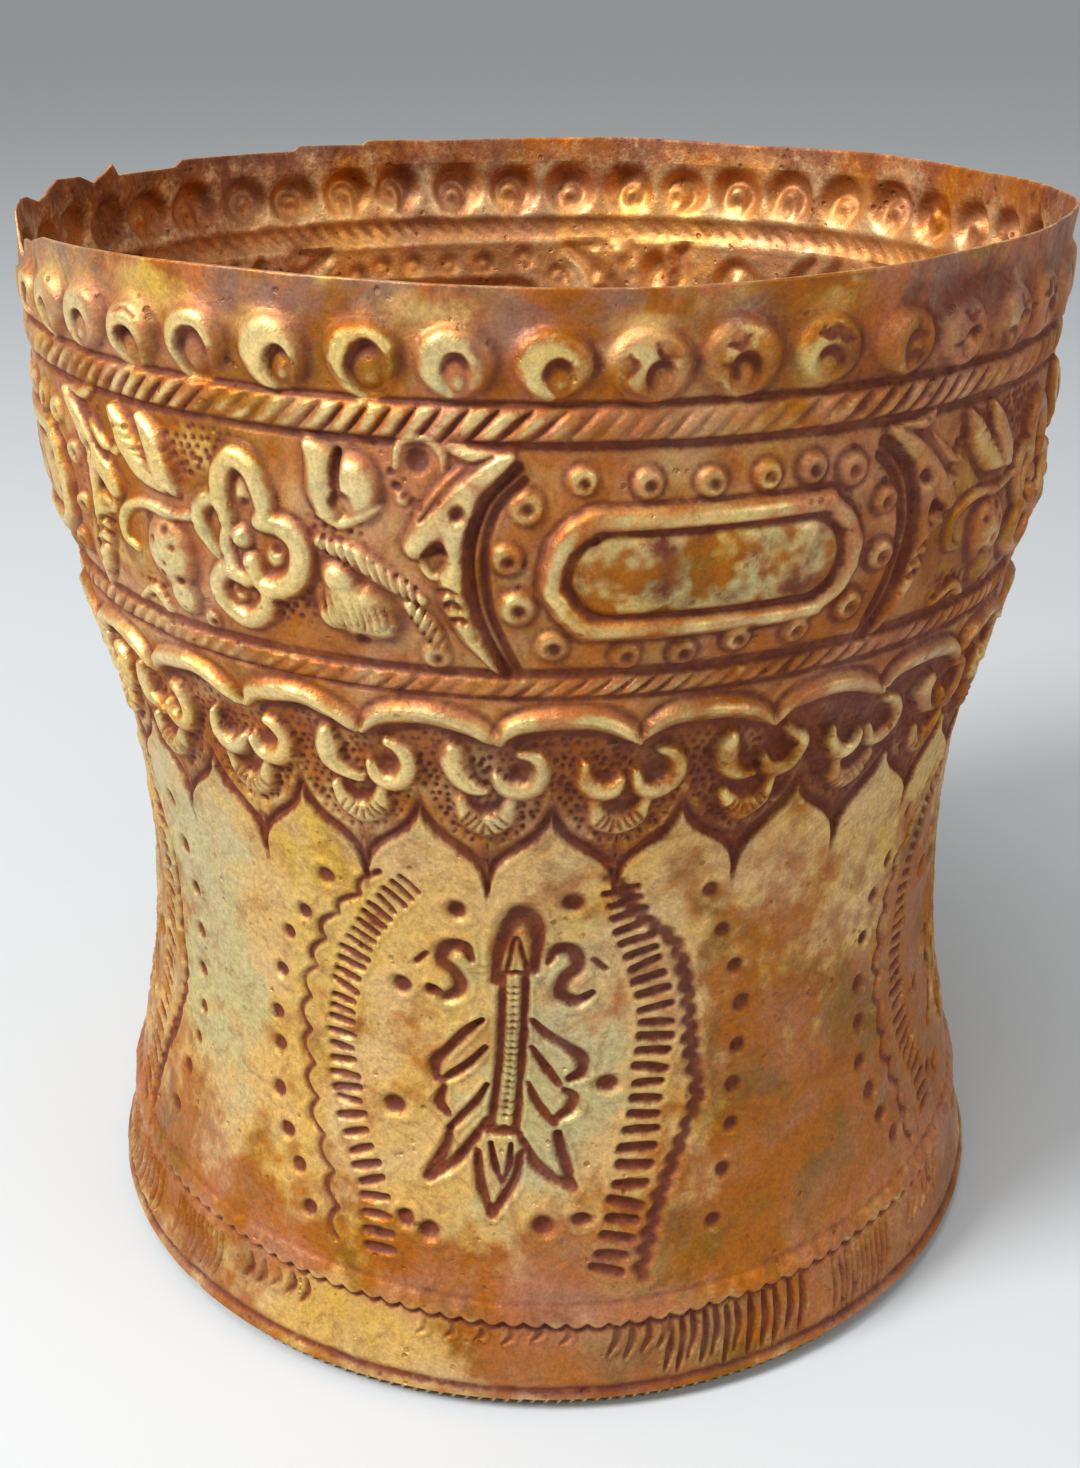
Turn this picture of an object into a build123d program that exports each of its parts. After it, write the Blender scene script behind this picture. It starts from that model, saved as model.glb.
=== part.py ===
from build123d import *
import os

# A beaker raised from one sheet of metal, with chased and domed ornament, a waisted lower half
# and a flared foot. The floor is a disc let into the foot and held by a run of solder, and a
# ring of wire is soldered under the floor's edge. Millimetres, +Z up, origin at the bottom
# centre, where the wire ring rests. The front, with the arrow medallion, faces -Y, and angles
# are counted from there towards +X.

os.makedirs("parts", exist_ok=True)

# Sheet, solder and wire
sheet = 0.8
rim_edge = 0.5
floor_sheet = 0.9
floor_gap = 0.05
solder_leg = 1.4
wire_diameter = 2.6
wire_flat = 0.2
wire_inset = 0.9

# Heights of the bands, from the lip of the foot up to the rim
foot_band = 12.3
waist_rise = 41.2
tips_rise = 15.8
lappet_band = 24.1
lower_rope_band = 2.6
frieze_band = 24.4
upper_rope_band = 3.8
boss_band = 11.9

# Outside radii of the ground, below the ornament
lip_radius = 64.3
groove_radius = 61.2
waist_radius = 55.2
shoulder_radius = 60.2
frieze_low_radius = 60.6
frieze_top_radius = 62.4
rim_radius = 62.6
frieze_belly = 1.0
foot_sag = 0.3
foot_flare_angle = 14.0
shoulder_flare_angle = 13.0

# Chased lines and rope bands that run all the way round
chased_line_width = 0.8
chased_line_depth = 0.35
lower_rope_relief = 0.6
upper_rope_relief = 0.8

# Row of domed bosses under the rim
boss_count = 43
boss_width = 6.2
boss_relief = 2.0
boss_rise = 4.1

# Frieze: four framed oval panels, with a looped flower between each two
panel_count = 4
panel_angle = 15.3
panel_length = 34.0
panel_height = 14.6
panel_bead = 2.2
panel_relief = 1.2
flower_angle = -29.6
petal_count = 4
petal_length = 6.8
petal_width = 6.0
petal_bead = 1.3
petal_reach = 5.5
flower_heart = 3.0
flower_relief = 1.3

# Two nested bows at each end of a panel, and four leaves round each flower
bow_angle = 18.7
bow_height = 21.4
bow_sag = 4.8
fin_sag = 10.6
bow_bead = 1.8
bow_relief = 0.9
leaf_width = 6.2
leaf_length = 8.6
leaf_reach = 12.3
leaf_rise = 5.9
leaf_relief = 1.1

# Swags that hang under the lower rope band, one over each lappet
swag_count = 25
swag_angle = 0.7
swag_span = 12.8
swag_sag = 3.4
swag_bead = 1.5
swag_drop = 1.6
swag_relief = 0.9

# A pair of curls and a bud at each lappet point, between the swags
curl_width = 4.0
curl_height = 4.6
curl_reach = 3.3
curl_rise = 15.0
bud_width = 5.2
bud_height = 3.0
bud_rise = 9.8
curl_relief = 1.1

# Heights worked out from the bands
z_lip = wire_diameter - 2 * wire_flat
z_groove = z_lip + foot_band
z_waist = z_groove + waist_rise
z_tips = z_waist + tips_rise
z_lower_rope = z_tips + lappet_band
z_frieze_low = z_lower_rope + lower_rope_band
z_frieze_top = z_frieze_low + frieze_band
z_frieze_mid = (z_frieze_low + z_frieze_top) / 2
z_boss_low = z_frieze_top + upper_rope_band
z_boss = z_boss_low + boss_rise
z_rim = z_boss_low + boss_band
frieze_mid_radius = (frieze_low_radius + frieze_top_radius) / 2 + frieze_belly
frieze_least_radius = min(frieze_low_radius, frieze_top_radius)
boss_ground_radius = frieze_top_radius + (rim_radius - frieze_top_radius) * boss_rise / boss_band
foot_slope = (lip_radius - groove_radius) / foot_band


# Stretches of outline, drawn from the foot up. Inset is how far inside the sheet's outside.
def chased_line(radius, z):
    half = chased_line_width / 2
    Polyline((radius, z - half), (radius - chased_line_depth, z), (radius, z + half))


def rope_bead(low_radius, low_z, top_radius, top_z, relief):
    half = chased_line_width / 2
    crown = ((low_radius + top_radius) / 2 + relief, (low_z + top_z) / 2)
    ThreePointArc((low_radius, low_z + half), crown, (top_radius, top_z - half))


def sheet_outline(inset, rim_inset):
    """The whole sheet from the lip to the rim, closed along the axis."""
    half = chased_line_width / 2
    lip = lip_radius - inset
    groove = groove_radius - inset
    shoulder = shoulder_radius - inset
    frieze_low = frieze_low_radius - inset
    frieze_mid = frieze_mid_radius - inset
    frieze_top = frieze_top_radius - inset
    foot_mid = ((lip + groove) / 2 - foot_sag, (z_lip + z_groove) / 2)
    ThreePointArc((lip, z_lip), foot_mid, (groove, z_groove - half))
    chased_line(groove, z_groove)
    Spline(
        (groove, z_groove + half),
        (waist_radius - inset, z_waist),
        (shoulder, z_lower_rope - half),
        tangents=[
            Vector(0, 1).rotate(Axis.Z, foot_flare_angle),
            Vector(0, 1),
            Vector(0, 1).rotate(Axis.Z, -shoulder_flare_angle),
        ],
    )
    chased_line(shoulder, z_lower_rope)
    rope_bead(shoulder, z_lower_rope, frieze_low, z_frieze_low, lower_rope_relief)
    chased_line(frieze_low, z_frieze_low)
    ThreePointArc(
        (frieze_low, z_frieze_low + half), (frieze_mid, z_frieze_mid), (frieze_top, z_frieze_top - half)
    )
    chased_line(frieze_top, z_frieze_top)
    rope_bead(frieze_top, z_frieze_top, frieze_top, z_boss_low, upper_rope_relief)
    chased_line(frieze_top, z_boss_low)
    Polyline(
        (frieze_top, z_boss_low + half),
        (rim_radius - rim_inset, z_rim),
        (0, z_rim),
        (0, z_lip),
        (lip, z_lip),
    )


def frieze_outline(relief):
    """The frieze alone, swollen by the relief of its ornament and closed along the axis."""
    low = (frieze_low_radius + relief, z_frieze_low)
    top = (frieze_top_radius + relief, z_frieze_top)
    ThreePointArc(low, (frieze_mid_radius + relief, z_frieze_mid), top)
    Polyline(top, (0, z_frieze_top), (0, z_frieze_low), low)


def lappet_outline(relief):
    """The lappets' band, swollen by the relief of its ornament and closed along the axis."""
    low = (waist_radius + relief, z_tips)
    top = (shoulder_radius + relief, z_lower_rope)
    Polyline((0, z_tips), low, top, (0, z_lower_rope), close=True)


def ornament_root(ground_radius, half_width):
    """How far from the axis a flat-backed ornament starts, so that its ends are in the sheet."""
    return (ground_radius**2 - half_width**2) ** 0.5 - sheet


# The frame round a bare oval panel, raised over the frieze, at the front
panel_root = ornament_root(frieze_least_radius, panel_length / 2)
with BuildPart() as panel_frame:
    with BuildSketch(Plane.XZ.offset(panel_root)):
        with Locations((0, z_frieze_mid)):
            SlotOverall(panel_length, panel_height)
            SlotOverall(panel_length - 2 * panel_bead, panel_height - 2 * panel_bead, mode=Mode.SUBTRACT)
    extrude(amount=frieze_mid_radius + panel_relief - panel_root)
    with BuildSketch(Plane.XZ):
        with BuildLine():
            frieze_outline(panel_relief)
        make_face()
    revolve(axis=Axis.Z, mode=Mode.INTERSECT)

# A flower of looped petals round a heart, raised over the frieze, at the front
flower_root = ornament_root(frieze_least_radius, petal_reach + petal_length / 2)
with BuildPart() as flower:
    with BuildSketch(Plane.XZ.offset(flower_root)):
        with Locations((0, z_frieze_mid)):
            with PolarLocations(petal_reach, petal_count):
                Ellipse(petal_length / 2, petal_width / 2)
            with PolarLocations(petal_reach, petal_count):
                Ellipse(petal_length / 2 - petal_bead, petal_width / 2 - petal_bead, mode=Mode.SUBTRACT)
            Circle(flower_heart / 2)
    extrude(amount=frieze_mid_radius + flower_relief - flower_root)
    with BuildSketch(Plane.XZ):
        with BuildLine():
            frieze_outline(flower_relief)
        make_face()
    revolve(axis=Axis.Z, mode=Mode.INTERSECT)

# Four leaves, set square round a flower and raised over the frieze, at the front
leaf_root = ornament_root(frieze_least_radius, leaf_reach + leaf_width / 2)
with BuildPart() as leaves:
    with BuildSketch(Plane.XZ.offset(leaf_root)):
        with Locations((0, z_frieze_mid)):
            with GridLocations(2 * leaf_reach, 2 * leaf_rise, 2, 2):
                Ellipse(leaf_width / 2, leaf_length / 2)
    extrude(amount=frieze_mid_radius + leaf_relief - leaf_root)
    with BuildSketch(Plane.XZ):
        with BuildLine():
            frieze_outline(leaf_relief)
        make_face()
    revolve(axis=Axis.Z, mode=Mode.INTERSECT)

# Two upright bows that spring from the same ends, for the right-hand end of a panel, at the front
bow_root = ornament_root(frieze_least_radius, fin_sag)
z_bow_low = z_frieze_mid - bow_height / 2
z_bow_top = z_frieze_mid + bow_height / 2
with BuildPart() as right_bows:
    with BuildSketch(Plane.XZ.offset(bow_root)):
        for sag in (bow_sag, fin_sag):
            with BuildLine():
                outer_edge = ThreePointArc((0, z_bow_low), (sag, z_frieze_mid), (0, z_bow_top))
                inner_edge = ThreePointArc(
                    (-bow_bead, z_bow_low), (sag - bow_bead, z_frieze_mid), (-bow_bead, z_bow_top)
                )
                Line(outer_edge @ 0, inner_edge @ 0)
                Line(outer_edge @ 1, inner_edge @ 1)
            make_face()
    extrude(amount=frieze_mid_radius + bow_relief - bow_root)
    with BuildSketch(Plane.XZ):
        with BuildLine():
            frieze_outline(bow_relief)
        make_face()
    revolve(axis=Axis.Z, mode=Mode.INTERSECT)

# The same bows for the left-hand end
with BuildPart() as left_bows:
    add(right_bows.part)
    mirror(about=Plane.YZ, mode=Mode.REPLACE)

# One swag, an arched bead that follows the sheet just under the lower rope band, at the front
swag_root = ornament_root(waist_radius, swag_span / 2)
z_swag = z_lower_rope - swag_drop
with BuildPart() as swag:
    with BuildSketch(Plane.XZ.offset(swag_root)):
        with BuildLine():
            upper_edge = ThreePointArc(
                (-swag_span / 2, z_swag - swag_sag),
                (0, z_swag),
                (swag_span / 2, z_swag - swag_sag),
            )
            lower_edge = ThreePointArc(
                (-swag_span / 2 + swag_bead, z_swag - swag_sag),
                (0, z_swag - swag_bead),
                (swag_span / 2 - swag_bead, z_swag - swag_sag),
            )
            Line(upper_edge @ 0, lower_edge @ 0)
            Line(upper_edge @ 1, lower_edge @ 1)
        make_face()
    extrude(amount=shoulder_radius + swag_relief - swag_root)
    with BuildSketch(Plane.XZ):
        with BuildLine():
            lappet_outline(swag_relief)
        make_face()
    revolve(axis=Axis.Z, mode=Mode.INTERSECT)

# The curls and the bud of one lappet point, at the front
curl_root = ornament_root(waist_radius, curl_reach + curl_width / 2)
with BuildPart() as curls:
    with BuildSketch(Plane.XZ.offset(curl_root)):
        z_curl = z_tips + curl_rise
        with Locations((-curl_reach, z_curl), (curl_reach, z_curl)):
            Ellipse(curl_width / 2, curl_height / 2)
        with Locations((0, z_tips + bud_rise)):
            Ellipse(bud_width / 2, bud_height / 2)
    extrude(amount=shoulder_radius + curl_relief - curl_root)
    with BuildSketch(Plane.XZ):
        with BuildLine():
            lappet_outline(curl_relief)
        make_face()
    revolve(axis=Axis.Z, mode=Mode.INTERSECT)

# The hollow behind one boss, which was punched out from within: a short plug with a domed end
dome_radius = ((boss_width / 2) ** 2 + boss_relief**2) / (2 * boss_relief)
dome_centre = boss_ground_radius + boss_relief - dome_radius
with BuildPart() as boss_hollow:
    with BuildSketch(Plane.XZ.offset(dome_centre)):
        with Locations((0, z_boss)):
            Circle(boss_width / 2 - sheet)
    extrude(amount=dome_radius)
    with Locations((0, -dome_centre, z_boss)):
        Sphere(dome_radius - sheet, mode=Mode.INTERSECT)

# The wall, one sheet: a solid of its outside with the ornament on it, then hollowed
with BuildPart() as vessel_wall:
    with BuildSketch(Plane.XZ):
        with BuildLine():
            sheet_outline(0, 0)
        make_face()
    revolve(axis=Axis.Z)
    with Locations((0, 0, z_boss)):
        with PolarLocations(dome_centre, boss_count, start_angle=-90):
            Sphere(dome_radius)
    with PolarLocations(0, panel_count, start_angle=panel_angle):
        add(panel_frame.part)
    with PolarLocations(0, panel_count, start_angle=flower_angle):
        add(flower.part)
    with PolarLocations(0, panel_count, start_angle=panel_angle + bow_angle):
        add(right_bows.part)
    with PolarLocations(0, panel_count, start_angle=panel_angle - bow_angle):
        add(left_bows.part)
    with PolarLocations(0, panel_count, start_angle=flower_angle):
        add(leaves.part)
    with PolarLocations(0, swag_count, start_angle=swag_angle):
        add(swag.part)
    with PolarLocations(0, swag_count, start_angle=swag_angle + 360 / swag_count / 2):
        add(curls.part)
    with BuildSketch(Plane.XZ):
        with BuildLine():
            sheet_outline(sheet, rim_edge)
        make_face()
    revolve(axis=Axis.Z, mode=Mode.SUBTRACT)
    with PolarLocations(0, boss_count):
        add(boss_hollow.part, mode=Mode.SUBTRACT)

# The space inside the sheet, less the gap that the solder fills, for the pieces let into the foot
with BuildPart() as hollow:
    with BuildSketch(Plane.XZ):
        with BuildLine():
            sheet_outline(sheet + floor_gap, rim_edge + floor_gap)
        make_face()
    revolve(axis=Axis.Z)

# The floor, a disc level with the lip, its edge sloped like the foot
z_floor = z_lip + floor_sheet
with BuildPart() as base_plate:
    add(hollow.part)
    split(bisect_by=Plane.XY.offset(z_floor), keep=Keep.BOTTOM)

# The run of solder in the corner between the floor and the sheet, which slopes in as it rises
corner_radius = lip_radius - sheet - foot_slope * floor_sheet
with BuildPart() as solder_seam:
    with BuildSketch(Plane.XZ):
        with BuildLine():
            Polyline(
                (corner_radius - solder_leg, z_floor),
                (lip_radius, z_floor),
                (lip_radius, z_floor + solder_leg),
                (corner_radius - foot_slope * solder_leg, z_floor + solder_leg),
                close=True,
            )
        make_face()
    revolve(axis=Axis.Z)
    add(hollow.part, mode=Mode.INTERSECT)

# The ring of wire under the floor, filed flat where it is soldered and worn flat where it rests
wire_radius = lip_radius - wire_inset - wire_diameter / 2
with BuildPart() as foot_wire:
    with BuildSketch(Plane.XZ):
        with Locations((wire_radius, z_lip / 2)):
            Circle(wire_diameter / 2)
            Rectangle(wire_diameter, z_lip, mode=Mode.INTERSECT)
    revolve(axis=Axis.Z)

vessel_wall.part.label = "vessel_wall"
export_step(vessel_wall.part, "parts/vessel_wall.step")
base_plate.part.label = "base_plate"
export_step(base_plate.part, "parts/base_plate.step")
solder_seam.part.label = "solder_seam"
export_step(solder_seam.part, "parts/solder_seam.step")
foot_wire.part.label = "foot_wire"
export_step(foot_wire.part, "parts/foot_wire.step")
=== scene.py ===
import math

import bmesh
import bpy
import numpy as np
from mathutils import Matrix, Vector


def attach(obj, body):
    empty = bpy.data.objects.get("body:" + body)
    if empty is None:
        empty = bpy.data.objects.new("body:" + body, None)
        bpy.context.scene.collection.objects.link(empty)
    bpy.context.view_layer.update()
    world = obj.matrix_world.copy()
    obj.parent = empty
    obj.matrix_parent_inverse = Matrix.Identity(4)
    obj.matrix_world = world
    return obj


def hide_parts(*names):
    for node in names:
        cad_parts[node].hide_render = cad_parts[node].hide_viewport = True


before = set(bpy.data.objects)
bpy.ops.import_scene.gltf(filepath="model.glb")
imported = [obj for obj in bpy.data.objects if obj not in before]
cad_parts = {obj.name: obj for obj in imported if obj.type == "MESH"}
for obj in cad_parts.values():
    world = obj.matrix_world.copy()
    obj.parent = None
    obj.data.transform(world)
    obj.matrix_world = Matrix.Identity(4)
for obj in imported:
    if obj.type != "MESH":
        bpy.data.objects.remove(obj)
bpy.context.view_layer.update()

MM = 0.001
hand = np.random.default_rng(11)

# The camera stands where the photograph was taken from: close by and a little above, in mm and degrees.
photo_height_px = 1468
focal_px = 1700
camera_distance = 220
camera_height = 165.7
camera_pitch = 25
axis_offset_px = 5

# Heights of the bands, in mm.
lip_level = 2.2
groove_level = 14.5
tip_level = 71.5
lower_rope_low, lower_rope_high = 95.6, 98.2
frieze_low, frieze_high = 98.2, 122.6
upper_rope_high = 126.4
boss_level = 130.5
rim_level = 138.3

# The plain outline of the sheet: height and outer radius, in mm.
outline = (
    (2.2, 64.3), (8, 62.5), (14.5, 61.2), (22, 59.5), (33.5, 57.1), (44.5, 55.7), (55.7, 55.2),
    (66.5, 55.5), (77.5, 56.9), (88, 58.8), (95.6, 60.2), (98.2, 60.6), (104, 61.9), (110.4, 62.5),
    (116.5, 62.7), (122.6, 62.4), (130.5, 62.5), (138.3, 62.6),
)
sheet_thickness = 0.8
rim_thickness = 0.5
widest_radius = 64.29
soft_limit = 63.2
mean_radius = 60

# The chasing is worked out on fine maps of the wall, one row per step of height, one column per step of turn.
columns = 2560
row_step = 0.155
column_step = 360 / columns
turn = np.arange(columns) * column_step - 180
level = np.arange(lip_level, rim_level + row_step, row_step)
rows = len(level)
up = level[:, None]
arc = np.radians(turn)[None, :] * mean_radius
plain_radius = np.interp(level, *zip(*outline))
# What is pushed out, chased in and roughened, then where dirt lies and shade is painted, where wear shows and
# highlights are painted, what is dented and what is left bare.
raised, cut, texture, grime_and_shade, shine, dented, bare_field = np.zeros((7, rows, columns))


def hump(value, middle, width, power=2):
    """1 at the middle, falling softly away on both sides."""
    return np.exp(-np.abs((value - middle) / width) ** power)


def lift(field, amount, place=slice(None)):
    """Brings a map up to an amount where it is lower."""
    field[place] = np.maximum(field[place], amount)


def sink(field, amount, place=slice(None)):
    """Brings a map down to an amount where it is higher."""
    field[place] = np.minimum(field[place], amount)


def blur(field, reach):
    """Smooths a map of the wall over a reach in mm, round the turn and mirrored at its ends."""
    tall = np.concatenate([field, field[::-1]])
    down = np.fft.fftfreq(tall.shape[0], row_step)[:, None]
    across = np.fft.rfftfreq(columns, 2 * math.pi * mean_radius / columns)[None, :]
    soften = np.exp(-2 * (math.pi * reach) ** 2 * (down ** 2 + across ** 2))
    return np.fft.irfft2(np.fft.rfft2(tall) * soften, s=tall.shape)[: len(field)]


def clouds(reach):
    """A seeded cloudy map of the wall, mostly between -1 and 1."""
    soft = blur(hand.standard_normal((rows, columns)), reach)
    return soft / (2 * soft.std())


def smooth_line(points, closed=False, steps=7):
    """A round curve through given points."""
    p = np.array(points, float)
    if len(p) < 3:
        return p
    before, after = (p[-1:], p[:2]) if closed else (2 * p[:1] - p[1:2], 2 * p[-1:] - p[-2:-1])
    q = np.concatenate([before, p, after])
    t = np.linspace(0, 1, steps, endpoint=False)[:, None]
    spans = []
    for a, b, c, d in zip(q[:-3], q[1:-2], q[2:-1], q[3:]):
        square, cube = 2 * a - 5 * b + 4 * c - d, 3 * b - a - 3 * c + d
        spans.append(0.5 * (2 * b + (c - a) * t + square * t ** 2 + cube * t ** 3))
    return np.concatenate(spans + [q[-2:-1] if closed else p[-1:]])


def walked(p):
    """How far along a line each of its points lies."""
    return np.concatenate([[0], np.cumsum(np.hypot(*np.diff(p, axis=0).T))])


class Spot:
    """A place on the wall that is being worked: x runs to the right and y up from it, in mm."""

    def __init__(self, angle, height, shake=0.0):
        self.angle, self.height, self.shake = angle, height, shake
        self.radius = np.interp(height, level, plain_radius)

    def line(self, points, closed=False, steps=7):
        """A round curve through some points, each a little off if the hand shakes."""
        p = np.array(points, float)
        if self.shake:
            p = p + hand.normal(0, self.shake, p.shape)
        return smooth_line(p, closed, steps)

    def window(self, p, margin):
        """Rows and columns round some points, with the x and y of each cell there."""
        low, high = p.min(axis=0) - margin, p.max(axis=0) + margin
        first = math.floor((math.degrees(low[0] / self.radius) + self.angle + 180) / column_step)
        last = math.ceil((math.degrees(high[0] / self.radius) + self.angle + 180) / column_step)
        across = np.arange(first, last + 1)
        x = np.radians(across * column_step - 180 - self.angle) * self.radius
        tall = np.flatnonzero((level >= self.height + low[1]) & (level <= self.height + high[1]))
        return np.ix_(tall, across % columns), x[None, :], (level[tall] - self.height)[:, None]

    def around(self, x, y, margin):
        """Rows and columns round one point, with x and y counted from it."""
        place, px, py = self.window(np.array([[x, y]]), margin)
        return place, px - x, py - y

    def along(self, p, widths, margin):
        """How far each cell lies from a curve, in half widths of the stroke."""
        place, x, y = self.window(p, margin)
        nearest = np.full(np.broadcast(x, y).shape, 99.0)
        for (ax, ay), (bx, by), aw, bw in zip(p[:-1], p[1:], widths[:-1], widths[1:]):
            dx, dy = bx - ax, by - ay
            t = np.clip(((x - ax) * dx + (y - ay) * dy) / (dx * dx + dy * dy + 1e-9), 0, 1)
            reach = np.hypot(x - ax - t * dx, y - ay - t * dy) / (aw + (bw - aw) * t)
            np.minimum(nearest, reach, out=nearest)
        return place, nearest

    def widths(self, p, width, taper):
        """Half the width of a stroke at each point, from shares along it."""
        shares = np.interp(np.linspace(0, 1, len(p)), np.linspace(0, 1, len(taper)), taper)
        return shares * width / 2 + 0.05

    def groove(self, points, width=0.85, depth=0.4, taper=(1, 1), burr=0.12, closed=False, dark=None):
        """A chased line with a small burr on both sides, dark with dirt."""
        p = self.line(points, closed)
        place, q = self.along(p, self.widths(p, width, taper), 1.6 * width)
        self.press(place, q, depth, burr, min(1, 0.3 + depth) if dark is None else dark)

    def press(self, place, q, depth, burr, dark):
        """Presses in the cells, by how far they lie from a stroke or dot, in half widths of it."""
        sink(cut, -depth * hump(q, 0, 1.02, 2.8), place)
        lift(texture, burr * hump(q, 1.75, 0.5), place)
        lift(grime_and_shade, dark * hump(q, 0, 1.15, 3), place)

    def bead(self, points, width=1.4, rise=0.9, taper=(1, 1), closed=False, crown=0.75, ditch=0.14,
             gleam=1.8):
        """A raised round line, pushed out from inside, with dirt along its foot."""
        p = self.line(points, closed)
        place, q = self.along(p, self.widths(p, width, taper), width)
        self.push(place, q, rise, crown, ditch, gleam)

    def push(self, place, q, rise, crown, ditch, gleam=1.5):
        """Pushes out the cells, by how far they lie from a bead or knob, in half widths of it."""
        lift(raised, rise * np.clip(1 - q ** 2, 0, 1) ** crown, place)
        sink(cut, -ditch * hump(q, 1.2, 0.25), place)
        lift(shine, np.clip(1.1 * (1 - q ** 2), 0, 1) ** gleam * min(1, 0.45 + 0.5 * rise), place)
        grime_and_shade[place] = np.where(q < 0.7, 0.3, 1) * np.maximum(grime_and_shade[place], 0.4 * hump(q, 1.08, 0.2))

    def knob(self, x, y, width, rise, tall=1.0, lean=0.0, crown=0.8, ditch=0.12):
        """A raised boss, round or oval."""
        size = width / 2
        place, px, py = self.around(x, y, size * max(1, tall) * 1.6)
        c, s = math.cos(math.radians(lean)), math.sin(math.radians(lean))
        self.push(place, np.hypot(px * c + py * s, (py * c - px * s) / tall) / size, rise, crown, ditch)

    def punch(self, x, y, width=1.2, depth=0.45, burr=0.12, tall=1.0):
        """A round punched dot."""
        size = width / 2
        place, px, py = self.around(x, y, size * 2.4)
        self.press(place, np.hypot(px, py / tall) / size, depth, burr, 0.95)

    def scoop(self, x, y, width, depth, way, tall=1.0, curl=0.0):
        """A dent pushed in from one side: steep at its back, with painted shade on its back wall and a curl
        left in it.
        """
        size = width / 2
        place, px, py = self.around(x, y, size * 1.5)
        py = py / tall
        q = np.hypot(px, py) / size
        front = (px * math.cos(way) + py * math.sin(way)) / size
        across = (py * math.cos(way) - px * math.sin(way)) / size
        dent = depth * np.clip((1.12 - q) / 0.3, 0, 1) * np.clip(0.72 - 0.42 * front, 0.05, 1)
        bump = hump(front, 0.42, 0.42) * hump(across, 0, 0.5)
        sink(cut, curl * bump - dent, place)
        # Painted shade on the back wall of the dent.
        back = hump(q, 0.72, 0.3) * np.clip(0.4 - 0.95 * front, 0, 1)
        grime_and_shade[place] = np.maximum(grime_and_shade[place] * (q > 1.1), np.clip(1.35 * back * (1 - 0.8 * bump), 0, 1))
        lift(dented, np.clip((1.15 - q) / 0.2, 0, 1), place)
        shine[place] = np.maximum(shine[place] * np.clip((q - 0.85) / 0.25, 0.2, 1), curl * 0.45 * bump)

    def ring_dot(self, x, y, width=2.8, rise=0.9):
        """A small dome with a pit in its middle."""
        self.knob(x, y, width, rise, 1, 0, 0.6)
        self.punch(x + 0.2, y - 0.25, 0.42 * width, 0.95 * rise, 0)

    def ladder(self, points, length, spacing, width=0.55, depth=0.4, lean=0.0, spread_out=1.0, thicken=1.0):
        """Short cross strokes set along a curve, further apart and thicker towards its end if asked."""
        p = self.line(points, steps=24)
        run = walked(p)
        s, first_width = spacing / 2, width
        while s < run[-1]:
            gone = s / run[-1]
            width = first_width * (1 + (thicken - 1) * gone) * (1 + hand.normal(0, 0.06))
            near = (s - 0.5, s, s + 0.5)
            behind, here, ahead = np.array([[np.interp(t, run, c) for c in p.T] for t in near])
            way = math.atan2(*(ahead - behind)[::-1]) + math.pi / 2 + math.radians(lean + hand.normal(0, 4))
            half = length * (0.5 + hand.normal(0, 0.04))
            stroke = here + np.array([[-half], [0], [half]]) * (math.cos(way), math.sin(way))
            place, q = self.along(stroke, width / 2 * np.array([0.75, 1, 0.75]), 1.5 * width)
            self.press(place, q, depth, 0.2, min(0.9, 0.35 + depth))
            s += spacing * (1 + (spread_out - 1) * gone) * (1 + hand.normal(0, 0.07))


def wave(value, pitch):
    """A row of small arches, from 0 at the cusps to 1 at the crowns."""
    return np.abs(np.sin(np.pi * value / pitch))


def stain(field, *patches):
    """Soft patches on the wall: angle, height, reach round it and up it, and amount."""
    for angle, height, across, tall, amount in patches:
        away = (turn - angle + 180) % 360 - 180
        field += amount * hump(away, 0, across)[None, :] * hump(up, height, tall)


# How far the hand strays up and down from the level lines.
wander = 0.35 * clouds(16)

# How much hands have polished each place, with painted light and shade in it too: much on the left, where the
# lamps fall, little on the right, turned away from them.
worn_and_lit = 0.86 + 0.42 * clouds(2.8) + 0.34 * clouds(0.9)
stain(worn_and_lit, (50, 116, 32, 34, -0.8), (15, 109, 12, 12, -0.2), (-50, 118, 44, 30, 0.3),
      (130, 110, 40, 30, -0.25))
worn_and_lit = np.clip(worn_and_lit, 0.08, 1.3)


def ring_line(height, width, depth, shift=0.0):
    """A chased line right round the vessel, level or on a shifted path."""
    off = (up - height - shift) / (width / 2)
    sink(cut, -depth * np.exp(-1.6 * off ** 2))
    lift(grime_and_shade, min(0.9, 0.3 + depth) * hump(off, 0, 1.2))


def rope(low, high, strokes, rise, lean):
    """A band of slanting leaf-shaped strokes between two lines, like a twisted rope."""
    middle, half = (low + high) / 2, (high - low) / 2
    v = (up - middle - 0.12 * clouds(8)) / half
    inside = np.clip(1 - np.abs(v / 0.95) ** 2.4, 0, 1)
    phase = strokes * np.radians(turn)[None, :] / (2 * np.pi) - lean * v - 0.12 * v ** 3 + 0.55 * clouds(6)
    side = phase - np.round(phase)
    off = np.abs(side) * 2
    kept = np.clip(0.75 + 0.5 * clouds(7) + 0.3 * clouds(2), 0.15, 1.1)
    lift(raised, rise * inside ** 0.6 * (0.6 + 0.4 * np.clip(off * 1.3, 0, 1)))
    lens = (0.27 + 0.1 * (side > 0)) * np.clip(1 - ((v + 0.12) / 0.8) ** 2, 0, 1) ** 0.6
    lens = lens * (1 + 0.3 * clouds(2.5))
    stroke = hump(off, 0, lens + 0.02, 2.2) * (np.abs(v) < 0.9) * kept
    sink(cut, -0.5 * stroke)
    lift(grime_and_shade, 0.68 * stroke)
    lift(shine, 0.62 * inside * np.clip(off * 1.6 - 0.4, 0, 1) * kept)


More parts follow.
